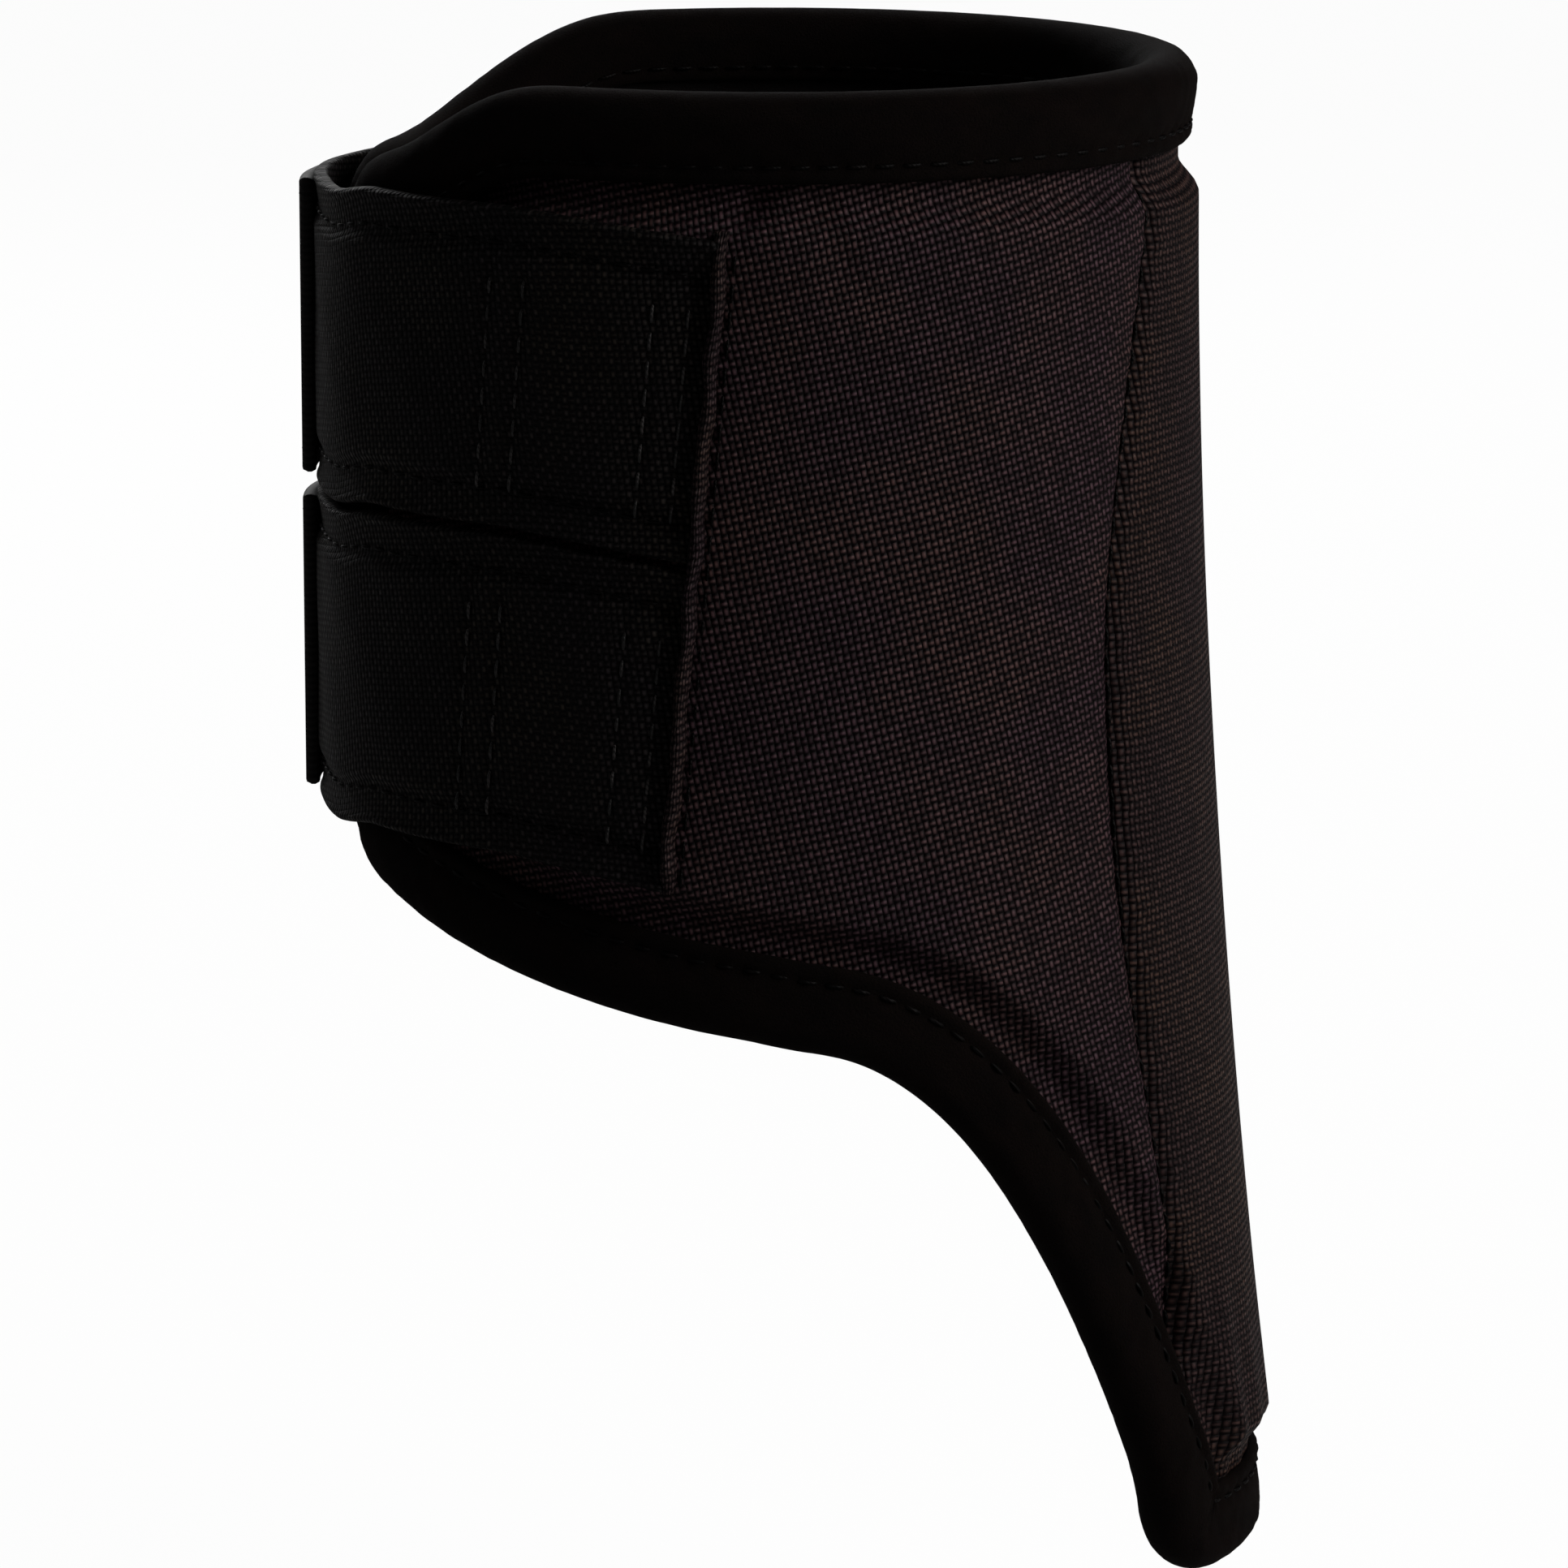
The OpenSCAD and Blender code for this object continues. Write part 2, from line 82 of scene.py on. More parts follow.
def half(z):
    """Half width of the boot."""
    return HALF_WIDTH + LOW_SPREAD * ease(60, 150, -z)


def on_boot(p, z, t):
    """Points in metres for angles p, heights z and offsets t."""
    p, z, t = np.broadcast_arrays(*(np.asarray(v, float) for v in (p, z, t)))
    a, b, c, s = reach(p, z), half(z), np.cos(np.radians(p)), np.sin(np.radians(p))
    n = np.hypot(c / a, s / b)
    return np.stack([a * c + t * c / a / n, b * s + t * s / b / n, z], -1) / 1000


def pitch(p, z):
    """Millimetres to a degree round the leg."""
    r = np.radians(p)
    return np.hypot(reach(p, z) * np.sin(r), half(z) * np.cos(r)) * np.pi / 180


def rim(p):
    """Height of the rim, which dips at both wings."""
    return -NEAR_DIP * ease(123, DIP_FULL, -np.asarray(p)) - FAR_DIP * ease(112, DIP_FULL, p)


def hem(p):
    """Height of the lower edge: level round the cuff, then down the tail."""
    q = np.abs(np.asarray(p, float))
    s = np.minimum(1, (q - 90) / 65)
    cuff = mix(CUFF_SIDE, CUFF_FRONT, np.where(s < 0, s / 2, np.maximum(s, 0) ** 1.25))
    g = (np.maximum(0.001, 90 - q) / 55.3) ** 2.4
    h = (np.maximum(0.01, g) ** -12.0 + 1) ** (-1 / 12)
    return -(cuff + (TAIL_DEPTH - cuff) * np.where(q < 90, h, 0))


def corner_at(end, up):
    """Centre angle and height of a wing's rounded corner, and its scale."""
    k = float(pitch(end, SPLIT_Z))
    edge = float((rim if up > 0 else hem)(end))
    return end - np.sign(end) * CORNER_R / k, edge - up * CORNER_R, k


def along(at, run, points):
    """The places at these ways along a line of points."""
    return np.stack([np.interp(at, run, column) for column in points.T], 1)


def edge_path(up, near_end=-NEAR_END, far_end=FAR_END, step=1.2):
    """Crest of a binding from the strap side's front edge to the other one."""
    line = rim if up > 0 else hem
    (a, za, ka), (b, zb, kb) = corner_at(near_end, up), corner_at(far_end, up)
    turn = np.radians(np.linspace(0, 90, 24))
    near = np.stack([a - CORNER_R / ka * np.cos(turn), za + up * CORNER_R * np.sin(turn)], 1)
    far = np.stack([b + CORNER_R / kb * np.cos(turn), zb + up * CORNER_R * np.sin(turn)], 1)
    p = np.linspace(a, b, 1500)[1:-1]
    path = np.concatenate([[[near_end, SPLIT_Z + up * 0.2]], near,
                           np.stack([p, line(p)], 1), far[::-1],
                           [[far_end, SPLIT_Z + up * 0.2]]])
    mid = (path[1:] + path[:-1]) / 2
    run = np.hypot(np.diff(path[:, 0]) * pitch(mid[:, 0], mid[:, 1]), np.diff(path[:, 1]))
    s = np.concatenate([[0], np.cumsum(run)])
    at = np.linspace(0, s[-1], int(s[-1] / step) + 1)
    path = along(at, s, path)
    for _ in range(14):
        path[1:-1] = path[1:-1] / 2 + (path[:-2] + path[2:]) / 4
    return path, at


RIM_LINE, RIM_RUN = edge_path(1)
HEM_LINE, HEM_RUN = edge_path(-1)


def to_edge(p, z):
    """Shortest way over the surface from each place to an edge of the boot."""
    p, z = np.broadcast_arrays(np.asarray(p, float), np.asarray(z, float))
    flat_p, flat_z, best = p.ravel(), z.ravel(), []
    for i in range(0, flat_p.size, 2000):
        pp, zz = flat_p[i:i + 2000, None], flat_z[i:i + 2000, None]
        k, d = pitch(pp, zz), np.full(pp.shape[0], 99.0)
        for line in (RIM_LINE[::2], HEM_LINE[::2]):
            a, b = line[:-1], line[1:]
            ux, uz = (b[:, 0] - a[:, 0]) * k, b[:, 1] - a[:, 1]
            vx, vz = (pp - a[:, 0]) * k, zz - a[:, 1]
            s = np.clip((ux * vx + uz * vz) / np.maximum(1e-6, ux ** 2 + uz ** 2), 0, 1)
            d = np.minimum(d, np.hypot(vx - s * ux, vz - s * uz).min(1))
        best.append(d)
    return np.concatenate(best).reshape(p.shape)


def shell_edge(p, up):
    """The wall's own upper or lower edge, inside the binding."""
    p = np.asarray(p, float)
    line = rim if up > 0 else hem
    slope = (line(p + 1) - line(p - 1)) / 2 / pitch(p, line(p))
    z = line(p) - up * EDGE_IN * np.hypot(1, slope)
    for end in (-NEAR_END, FAR_END):
        c, zc, k = corner_at(end, up)
        d, r = (np.abs(p) - abs(c)) * k, CORNER_R - EDGE_IN
        inside = (np.sign(p) == np.sign(end)) & (d > 0)
        z = np.where(inside, zc + up * np.sqrt(np.maximum(0, r * r - np.clip(d, 0, r) ** 2)), z)
    return z


def crowd(n, pull=0.6):
    """n + 1 shares from 0 to 1, closer together near both ends."""
    s = np.linspace(0, 1, n + 1)
    return s - pull * np.sin(2 * np.pi * s) / (2 * np.pi)


def in_face(w):
    """Offset of the foam's inner face at a way w from the edge."""
    return -WALL + TUCK * (1 - ease(9.5, 18, w))


ARC_P = np.arange(-300, 201, 0.5)
ARC_S = np.concatenate([[0], np.cumsum(pitch(ARC_P[1:] - 0.25, -60.0) * 0.5)])
ARC_S -= np.interp(0, ARC_P, ARC_S)


def thread_map(p, z):
    """Where each place lies on the flat cloth, in metres."""
    return np.stack([np.interp(p, ARC_P, ARC_S), np.broadcast_to(z, np.shape(p))], -1) / 1000


def closed_cloth(name, outer, inner, thread, finish):
    """Closed solid between two grids of points, with a map of the flat cloth."""
    m, n = outer.shape[:2]
    points = np.concatenate([outer.reshape(-1, 3), inner.reshape(-1, 3)])
    at = np.arange(m * n).reshape(m, n)
    face = np.stack([at[:-1, :-1], at[:-1, 1:], at[1:, 1:], at[1:, :-1]], -1).reshape(-1, 4)
    rest = [face[:, ::-1] + m * n]
    for side in (at[0], at[-1][::-1], at[::-1, 0], at[:, -1]):
        rest.append(np.stack([side[1:], side[:-1], side[:-1] + m * n, side[1:] + m * n], -1))
    faces = np.concatenate([face] + rest)
    mesh = bpy.data.meshes.new(name)
    mesh.from_pydata(points.tolist(), [], faces.tolist())
    layer = mesh.uv_layers.new(name="thread")
    flat = np.concatenate([thread.reshape(-1, 2)] * 2)[faces.ravel()]
    layer.uv.foreach_set("vector", flat.astype(np.float32).ravel())
    mesh.shade_smooth()
    ready = bmesh.new()
    ready.from_mesh(mesh)
    bmesh.ops.recalc_face_normals(ready, faces=ready.faces)
    ready.to_mesh(mesh)
    ready.free()
    piece = bpy.data.objects.new(name, mesh)
    studio.collection.objects.link(piece)
    mesh.materials.append(finish)
    return piece


def recipe(name):
    """An empty material with its shader, and a quick way to add nodes to it.
    An input is given by its name, or as i and its number."""
    finish = bpy.data.materials.new(name)
    finish.use_nodes = True
    nodes, links = finish.node_tree.nodes, finish.node_tree.links
    shader = nodes["Principled BSDF"]

    def add(kind, sets=None, **inputs):
        node = nodes.new(kind)
        for key, value in (sets or {}).items():
            setattr(node, key, value)
        for key, value in inputs.items():
            plug(node.inputs[int(key[1:]) if key[0] == "i" and key[1:].isdigit()
                             else key.replace("_", " ")], value)
        return node

    def plug(socket, value):
        if isinstance(value, bpy.types.NodeSocket):
            links.new(value, socket)
        else:
            socket.default_value = value

    return finish, shader, add, plug


def settle(shader, **amounts):
    """Sets the shader's plain amounts on its own sockets."""
    for label, amount in amounts.items():
        shader.inputs[label.replace("_", " ")].default_value = amount


def group_recipe(name, ins, outs):
    """An empty shader node group with named inputs and outputs."""
    group = bpy.data.node_groups.new(name, "ShaderNodeTree")
    for label, kind, value in ins:
        socket = group.interface.new_socket(name=label, in_out="INPUT", socket_type=kind)
        if value is not None:
            socket.default_value = value
    for label, kind in outs:
        group.interface.new_socket(name=label, in_out="OUTPUT", socket_type=kind)
    source, sink = group.nodes.new("NodeGroupInput"), group.nodes.new("NodeGroupOutput")

    def plug(socket, value):
        if isinstance(value, bpy.types.NodeSocket):
            group.links.new(value, socket)
        else:
            socket.default_value = value

    def maths(operation, *values, clamp=False):
        node = group.nodes.new("ShaderNodeMath")
        node.operation, node.use_clamp = operation, clamp
        for socket, value in zip(node.inputs, values):
            plug(socket, value)
        return node.outputs[0]

    def add(kind, sets=None, **inputs):
        node = group.nodes.new(kind)
        for key, value in (sets or {}).items():
            setattr(node, key, value)
        for key, value in inputs.items():
            plug(node.inputs[key.replace("_", " ")], value)
        return node

    return group, source.outputs, sink.inputs, add, maths, plug


# Short pile: tufts lean this way and that, so it goes light and dark in soft
# streaks, with single fibres on top. Lay is how far the streaks stretch.
nap, ins, outs, add, maths, plug = group_recipe(
    "short nap",
    [("Cloth", "NodeSocketVector", None), ("Fibre", "NodeSocketFloat", 0.0003),
     ("Streak", "NodeSocketFloat", 0.006), ("Lay", "NodeSocketFloat", 2.5)],
    [("Shade", "NodeSocketFloat"), ("Height", "NodeSocketFloat")])
parts = add("ShaderNodeSeparateXYZ", Vector=ins["Cloth"])
laid = add("ShaderNodeCombineXYZ", X=maths("DIVIDE", parts.outputs[0], ins["Lay"]),
           Y=parts.outputs[1])
tufts = add("ShaderNodeTexNoise", Vector=ins["Cloth"], Detail=4.0, Roughness=0.7,
            Scale=maths("DIVIDE", 1.0, ins["Fibre"]))
streaks = add("ShaderNodeTexNoise", Vector=laid.outputs[0], Detail=3.0, Roughness=0.55,
              Scale=maths("DIVIDE", 1.0, ins["Streak"]))
plug(outs["Shade"], maths("ADD", maths("MULTIPLY", tufts.outputs[0], 0.45),
                          maths("MULTIPLY", streaks.outputs[0], 0.55), clamp=True))
plug(outs["Height"], maths("ADD", tufts.outputs[0],
                           maths("MULTIPLY", streaks.outputs[0], 0.6)))


def napped(name, dark, light, fibre, streak, lay, depth, sheen, tint):
    """Velour or brushed knit: dark pile with a soft edge glow."""
    finish, shader, add, plug = recipe(name)
    cloth = add("ShaderNodeUVMap", {"uv_map": "thread"})
    pile = add("ShaderNodeGroup", {"node_tree": nap}, Cloth=cloth.outputs[0],
               Fibre=fibre, Streak=streak, Lay=lay)
    shade = add("ShaderNodeValToRGB", Fac=pile.outputs["Shade"])
    for stop, at, tone in zip(shade.color_ramp.elements, (0.32, 0.72), (dark, light)):
        stop.position, stop.color = at, (*tone, 1)
    bump = add("ShaderNodeBump", Height=pile.outputs["Height"], Distance=depth, Strength=0.9)
    plug(shader.inputs["Base Color"], shade.outputs[0])
    plug(shader.inputs["Normal"], bump.outputs[0])
    settle(shader, Roughness=0.92, Specular_IOR_Level=0.05, Sheen_Weight=sheen,
           Sheen_Roughness=0.45, Sheen_Tint=(*tint, 1))
    return finish


brushed_knit = napped("brushed knit", (0.0014, 0.0012, 0.0012), (0.006, 0.005, 0.005),
                      0.0005, 0.009, 1.6, 0.0004, 0.02, (0.3, 0.24, 0.22))

front_in = [EDGE_IN / float(pitch(e, SPLIT_Z)) for e in (-NEAR_END, FAR_END)]
lining_p = mix(-NEAR_END + front_in[0], FAR_END - front_in[1], crowd(230, 0.25))[None, :]
lining_v = crowd(110)[:, None]
lining_z = mix(shell_edge(lining_p, -1), shell_edge(lining_p, 1), lining_v)
lining_p = np.broadcast_to(lining_p, lining_z.shape)
lining_w = to_edge(lining_p, lining_z)
slack = (np.sin(lining_p / 9.0 + 1.0) * np.sin(lining_z / 17.0)
         + 0.4 * np.sin(lining_p / 3.7 + lining_z / 11.0))
inside = in_face(lining_w) + 0.18 * ease(12, 22, lining_w) * slack
lining = closed_cloth("lining_knit", on_boot(lining_p, lining_z, in_face(lining_w) + LINING),
                      on_boot(lining_p, lining_z, inside),
                      thread_map(lining_p, lining_z), brushed_knit)
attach(lining, "shell")
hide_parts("lining")


# The strap side panel --------------------------------------------------------
# Woven nylon over foam, from the front edge back to the rear seam. The foam
# presses the cloth out between the seams, and the cloth is drawn in hard
# where the bindings and the rear seam are stitched through it.

COVER_ROOM, SWELL_CAP = 0.12, 0.9
HELD, FREE, SEAM_HOLD = 15, 26, 5


def seam_at(z):
    """Half angle of the rear panel."""
    return 27 + 13 * ease(5, 75, -z) - 9 * ease(90, 180, -z)


def seam_line(n):
    """Angles of the rear seam on n + 1 rows, from hem to rim."""
    v, p = crowd(n), np.full(n + 1, 33.0)
    for _ in range(6):
        z = mix(shell_edge(p, -1), shell_edge(p, 1), v)
        p = seam_at(z)
    return p


def out_face(w):
    """Offset of the cover at a way w from the edge."""
    return -SINK * (1 - ease(13.5, 18, w))


def dent(p, z, p0, z0, p1, z1, width, depth):
    """A soft crease from one place to another, depth in mm (up if negative)."""
    k = pitch(p0, z0)
    ux, uz = (p1 - p0) * k, z1 - z0
    vx, vz = (p - p0) * k, z - z0
    long = ux * ux + uz * uz
    s = (ux * vx + uz * vz) / long
    off = np.hypot(vx - np.clip(s, 0, 1) * ux, vz - np.clip(s, 0, 1) * uz)
    return -depth * np.exp(-(off / width) ** 2) * ease(-0.25, 0.3, s) * (1 - ease(0.7, 1.25, s))


def seam_draw(p, z):
    """How far the rear seam draws the cloth in."""
    d = (np.abs(p) - seam_at(z)) * pitch(p, z)
    tug = 0.15 * np.sin(z * 2 * np.pi / 7.0 + np.sign(p)) + 0.08 * np.sin(z * 2 * np.pi / 3.5)
    return (-1.15 * np.exp(-(d / 1.15) ** 2) - 0.5 * np.exp(-(d / 4.5) ** 2)
            - tug * np.exp(-((np.abs(d) - 2.6) / 2.0) ** 2))


def welt_at(z):
    """Angle of the strap seam, which leans back as it goes up."""
    return -95 + 9 * np.asarray(z, float) / 100


def near_face(p, z, w):
    """Offset of the strap side's cloth before it swells, with the creases that
    run down from the rim where the strap seam starts."""
    t = out_face(w) + seam_draw(p, z)
    t = t + 0.22 * np.sin(p / 8.0 + z / 31.0) * np.sin(z / 14.0 - p / 25.0)
    for crease in ((-89.2, -8.5, -94.8, -16.2, 1.3, 1.7), (-99.4, -9, -101, -13, 1.4, 0.5),
                   (-84.4, -12, -80.2, -23, 2.0, 0.45), (-76.5, -12, -75, -19, 1.6, 0.35)):
        t = t + dent(p, z, *crease)
    under = ease(0, 3, (welt_at(z) - p) * 0.85) * ease(-102, -99, z) * (1 - ease(-14, -11, z))
    return np.minimum(t, mix(9, -COVER_ROOM, under))


def held_at(p, z, w):
    """1 where a binding or the rear seam holds the cloth, and 0 where it is free."""
    to_seam = (np.abs(p) - seam_at(z)) * pitch(p, z)
    return np.maximum(1 - ease(HELD, FREE, w), np.exp(-(to_seam / SEAM_HOLD) ** 2))


def swell(name, p, z, face, hold, cap):
    """Lets a panel's cloth press out over its foam, with the seams held, and
    gives how far each place of the fine grid moved out, in mm."""
    steps = 20
    rows = np.unique(np.linspace(0, p.shape[0] - 1, 46).round().astype(int))
    cols = np.unique(np.linspace(0, p.shape[1] - 1, 46).round().astype(int))
    pick = np.ix_(rows, cols)
    start, back = on_boot(p[pick], z[pick], face[pick] - 0.1), on_boot(p[pick], z[pick], -5.0)
    pad = closed_cloth(name + "_pad", start, back, thread_map(p[pick], z[pick]), brushed_knit)
    count = start.shape[0] * start.shape[1]
    pins = pad.vertex_groups.new(name="sewn")
    held = hold[pick].ravel()
    for i in range(2 * count):
        pins.add([i], 1.0 if i >= count else float(held[i]), "REPLACE")
    cloth = pad.modifiers.new("Cloth", "CLOTH")
    cloth.settings.vertex_group_mass = "sewn"
    cloth.settings.use_pressure = True
    cloth.settings.uniform_pressure_force = 4.0
    cloth.settings.effector_weights.gravity = 0.0
    cloth.settings.mass = 0.2
    cloth.settings.quality = 6
    cloth.settings.tension_stiffness = cloth.settings.compression_stiffness = 15
    cloth.settings.bending_stiffness = 0.6
    cloth.point_cache.frame_start, cloth.point_cache.frame_end = 1, steps
    for f in range(1, steps + 1):
        studio.frame_set(f)
    grown = pad.evaluated_get(bpy.context.evaluated_depsgraph_get()).to_mesh()
    place = np.zeros(len(grown.vertices) * 3)
    grown.vertices.foreach_get("co", place)
    place = place.reshape(-1, 3)[:count].reshape(start.shape)
    out = on_boot(p[pick], z[pick], 1.0) - on_boot(p[pick], z[pick], 0.0)
    moved = np.clip(((place - start) * out).sum(-1) / (out ** 2).sum(-1), -cap, 9)
    moved = cap * np.tanh(moved / cap)
    studio.frame_set(1)
    bpy.data.objects.remove(pad)
    fine = np.stack([np.interp(np.arange(p.shape[1]), cols, row) for row in moved])
    return np.stack([np.interp(np.arange(p.shape[0]), rows, col) for col in fine.T], 1)


YARN = 0.00082

# Plain weave of thick filament yarn. Cloth is the place on the flat cloth in
# metres, Across and Up the room a yarn takes, Turn the lie of the grain.
weave, ins, outs, add, maths, plug = group_recipe(
    "filament weave",
    [("Cloth", "NodeSocketVector", None), ("Across", "NodeSocketFloat", YARN),
     ("Up", "NodeSocketFloat", 0.00100), ("Turn", "NodeSocketFloat", 0.218),
     ("Wander", "NodeSocketFloat", 0.00025), ("Weft", "NodeSocketFloat", 1.0),
     ("Warp", "NodeSocketFloat", 1.0)],
    [("Crown", "NodeSocketFloat"), ("Height", "NodeSocketFloat"),
     ("Fleck", "NodeSocketFloat"), ("Patch", "NodeSocketFloat")])
drift = add("ShaderNodeTexNoise", Vector=ins["Cloth"], Scale=55.0, Detail=1.0)
shift = add("ShaderNodeVectorMath", {"operation": "SUBTRACT"})
plug(shift.inputs[0], drift.outputs["Color"])
shift.inputs[1].default_value = (0.5, 0.5, 0.5)
scaled = add("ShaderNodeVectorMath", {"operation": "SCALE"})
plug(scaled.inputs[0], shift.outputs[0])
plug(scaled.inputs["Scale"], maths("MULTIPLY", ins["Wander"], 4.0))
placed = add("ShaderNodeVectorMath", {"operation": "ADD"})
plug(placed.inputs[0], ins["Cloth"])
plug(placed.inputs[1], scaled.outputs[0])
turned = add("ShaderNodeVectorRotate", {"rotation_type": "Z_AXIS"},
             Vector=placed.outputs[0], Angle=maths("MULTIPLY", ins["Turn"], -1.0))
parts = add("ShaderNodeSeparateXYZ", Vector=turned.outputs[0])
yarn_a = maths("DIVIDE", parts.outputs[0], ins["Across"])
yarn_b = maths("DIVIDE", parts.outputs[1], ins["Up"])
row_a, row_b = maths("FLOOR", yarn_a), maths("FLOOR", yarn_b)
hill_a, hill_b = (maths("SINE", maths("MULTIPLY", maths("FRACT", yarn), 3.14159))
                  for yarn in (yarn_a, yarn_b))
odd = maths("FLOORED_MODULO", maths("ADD", row_a, row_b), 2.0)
side = maths("SUBTRACT", 1.0, maths("MULTIPLY", odd, 2.0))
weft = maths("ADD", maths("POWER", hill_b, 0.6),
             maths("MULTIPLY", maths("MULTIPLY", side, hill_a), 0.8))
warp = maths("SUBTRACT", maths("POWER", hill_a, 0.6),
             maths("MULTIPLY", maths("MULTIPLY", side, hill_b), 0.8))
cell = add("ShaderNodeCombineXYZ", X=row_a, Y=row_b)
dice = add("ShaderNodeTexWhiteNoise", {"noise_dimensions": "2D"}, Vector=cell.outputs[0])
strands = add("ShaderNodeTexNoise", Vector=turned.outputs[0], Scale=9000.0, Detail=1.0)
patch = add("ShaderNodeTexNoise", Vector=ins["Cloth"], Scale=45.0, Detail=3.0, Roughness=0.6)
over = maths("DIVIDE", maths("ADD", side, 1.0), 2.0)
weft_crown = maths("MULTIPLY", maths("POWER", hill_b, 6.5), maths("POWER", hill_a, 0.35))
warp_crown = maths("MULTIPLY", maths("POWER", hill_a, 2.6), hill_b)
weft_crown = maths("MULTIPLY", maths("MULTIPLY", weft_crown, over), ins["Weft"])
warp_crown = maths("MULTIPLY", maths("MULTIPLY", warp_crown, maths("SUBTRACT", 1.0, over)), ins["Warp"])
plug(outs["Crown"], maths("ADD", weft_crown, warp_crown, clamp=True))
plug(outs["Height"], maths("ADD", maths("MAXIMUM", weft, maths("MULTIPLY", warp, 0.92)),
                           maths("MULTIPLY", strands.outputs[0], 0.12)))
plug(outs["Fleck"], dice.outputs["Value"])
plug(outs["Patch"], patch.outputs[0])


def woven(name, dark, light, turn, depth, rough, shine, sheen, tint, up=0.00100, weft=1.0):
    """Filament nylon: dark between the yarns, with a painted highlight that makes their crowns lighter.
    """
    finish, shader, add, plug = recipe(name)
    cloth = add("ShaderNodeUVMap", {"uv_map": "thread"})
    yarn = add("ShaderNodeGroup", {"node_tree": weave}, Cloth=cloth.outputs[0], Turn=turn,
               Across=YARN, Up=up, Wander=0.00025, Weft=weft, Warp=1.0)
    times = {"operation": "MULTIPLY", "use_clamp": True}
    each = add("ShaderNodeMapRange", Value=yarn.outputs["Fleck"], To_Min=0.45, To_Max=1.25)
    mask = add("ShaderNodeMath", times, i0=yarn.outputs["Crown"], i1=each.outputs[0])
    area = add("ShaderNodeMapRange", Value=yarn.outputs["Patch"], From_Min=0.3, From_Max=0.7,
               To_Min=0.7, To_Max=1.15)
    # Painted highlight: the crown mask, times the patches, lightens the colour where the yarn crowns
    # catch the light, and makes them less rough.
    painted_highlight = add("ShaderNodeMath", times, i0=mask.outputs[0], i1=area.outputs[0])
    warmth = add("ShaderNodeMapRange", Value=yarn.outputs["Patch"], From_Min=0.42, From_Max=0.6)
    # The colours of the painted highlight, a little warmer in some patches.
    crown = add("ShaderNodeMix", {"data_type": "RGBA"}, i0=warmth.outputs[0], i6=(*light, 1),
                i7=(light[0] * 1.04, light[1] * 1.04, light[2] * 0.8, 1))
    colour = add("ShaderNodeMix", {"data_type": "RGBA"}, i0=painted_highlight.outputs[0],
                 i6=(*dark, 1), i7=crown.outputs[2])
    gloss = add("ShaderNodeMapRange", Value=painted_highlight.outputs[0], To_Min=rough + 0.25, To_Max=rough)
    bump = add("ShaderNodeBump", Height=yarn.outputs["Height"], Distance=depth, Strength=1.0)
    plug(shader.inputs["Base Color"], colour.outputs[2])
    plug(shader.inputs["Roughness"], gloss.outputs[0])
    plug(shader.inputs["Normal"], bump.outputs[0])
    settle(shader, Specular_IOR_Level=shine, Sheen_Weight=sheen, Sheen_Roughness=0.35,
           Sheen_Tint=(*tint, 1))
    return finish


# Its light colour is the painted highlight on the yarn crowns.
side_nylon = woven("side nylon", (0.0014, 0.0002, 0.0007), (0.068, 0.037, 0.047), 0.218,
                   0.00024, 0.38, 0.07, 0.002, (0.9, 0.65, 0.68))

seam_p = seam_line(150)


def wing(end, cols):
    """Angles and heights of a side panel, from its front edge to the seam."""
    s = np.sign(end)
    first = end - s * EDGE_IN / float(pitch(end, SPLIT_Z))
    u = crowd(cols, 0.5)[None, :]
    p = mix(np.full_like(seam_p, first)[:, None], s * seam_p[:, None], u)
    z = mix(shell_edge(p, -1), shell_edge(p, 1), crowd(150)[:, None])
    return p, z


p, z = wing(-NEAR_END, 120)
w = to_edge(p, z)
face = near_face(p, z, w)
under_straps = ease(-2, 2, welt_at(z) - p) * ease(-105, -99, z) * (1 - ease(-14, -9, z))
hold = np.maximum.reduce([held_at(p, z, w), under_straps])
face = face + swell("near", p, z, face, hold, SWELL_CAP)
near_panel = closed_cloth("strap_side_panel", on_boot(p, z, face),
                          on_boot(p, z, in_face(w) + LINING + 0.1), thread_map(p, z), side_nylon)
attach(near_panel, "shell")
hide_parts("near_cover", "near_foam")


# The plain side panel --------------------------------------------------------
# The same woven nylon and foam on the other side of the leg. It reaches
# further round the front, and carries the panel that the straps close onto.

def far_face(p, z, w):
    """Offset of the plain side's cloth before it swells."""
    t = out_face(w) + seam_draw(p, z)
    t = t + 0.22 * np.sin(p / 9.0 - z / 27.0 + 2.0) * np.sin(z / 15.0 + p / 23.0)
    under = ease(96, 99, p) * ease(-104, -101, z) * (1 - ease(-13, -10, z))
    return np.minimum(t, mix(9, -COVER_ROOM, under))


p, z = wing(FAR_END, 120)
w = to_edge(p, z)
face = far_face(p, z, w)
under_loop = ease(92, 98, p) * ease(-106, -100, z) * (1 - ease(-14, -9, z))
hold = np.maximum.reduce([held_at(p, z, w), under_loop])
face = face + swell("far", p, z, face, hold, SWELL_CAP)
far_panel = closed_cloth("plain_side_panel", on_boot(p, z, face),
                         on_boot(p, z, in_face(w) + LINING + 0.1), thread_map(p, z), side_nylon)
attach(far_panel, "shell")
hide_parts("far_cover", "far_foam")


# The rear panel --------------------------------------------------------------
# A long piece of the same nylon over foam and a denser pad, which runs down
# the back of the leg into the cupped tail. It is gathered a little at the tip.

# A darker copy of the same nylon: the lower colours are painted shade, set against the key light that
# falls full on the rear.
shaded_rear_nylon = woven("shaded rear nylon", (0.0014, 0.0002, 0.0006), (0.049, 0.027, 0.027), 0.03,
                   0.00024, 0.38, 0.07, 0.004, (0.9, 0.65, 0.68))


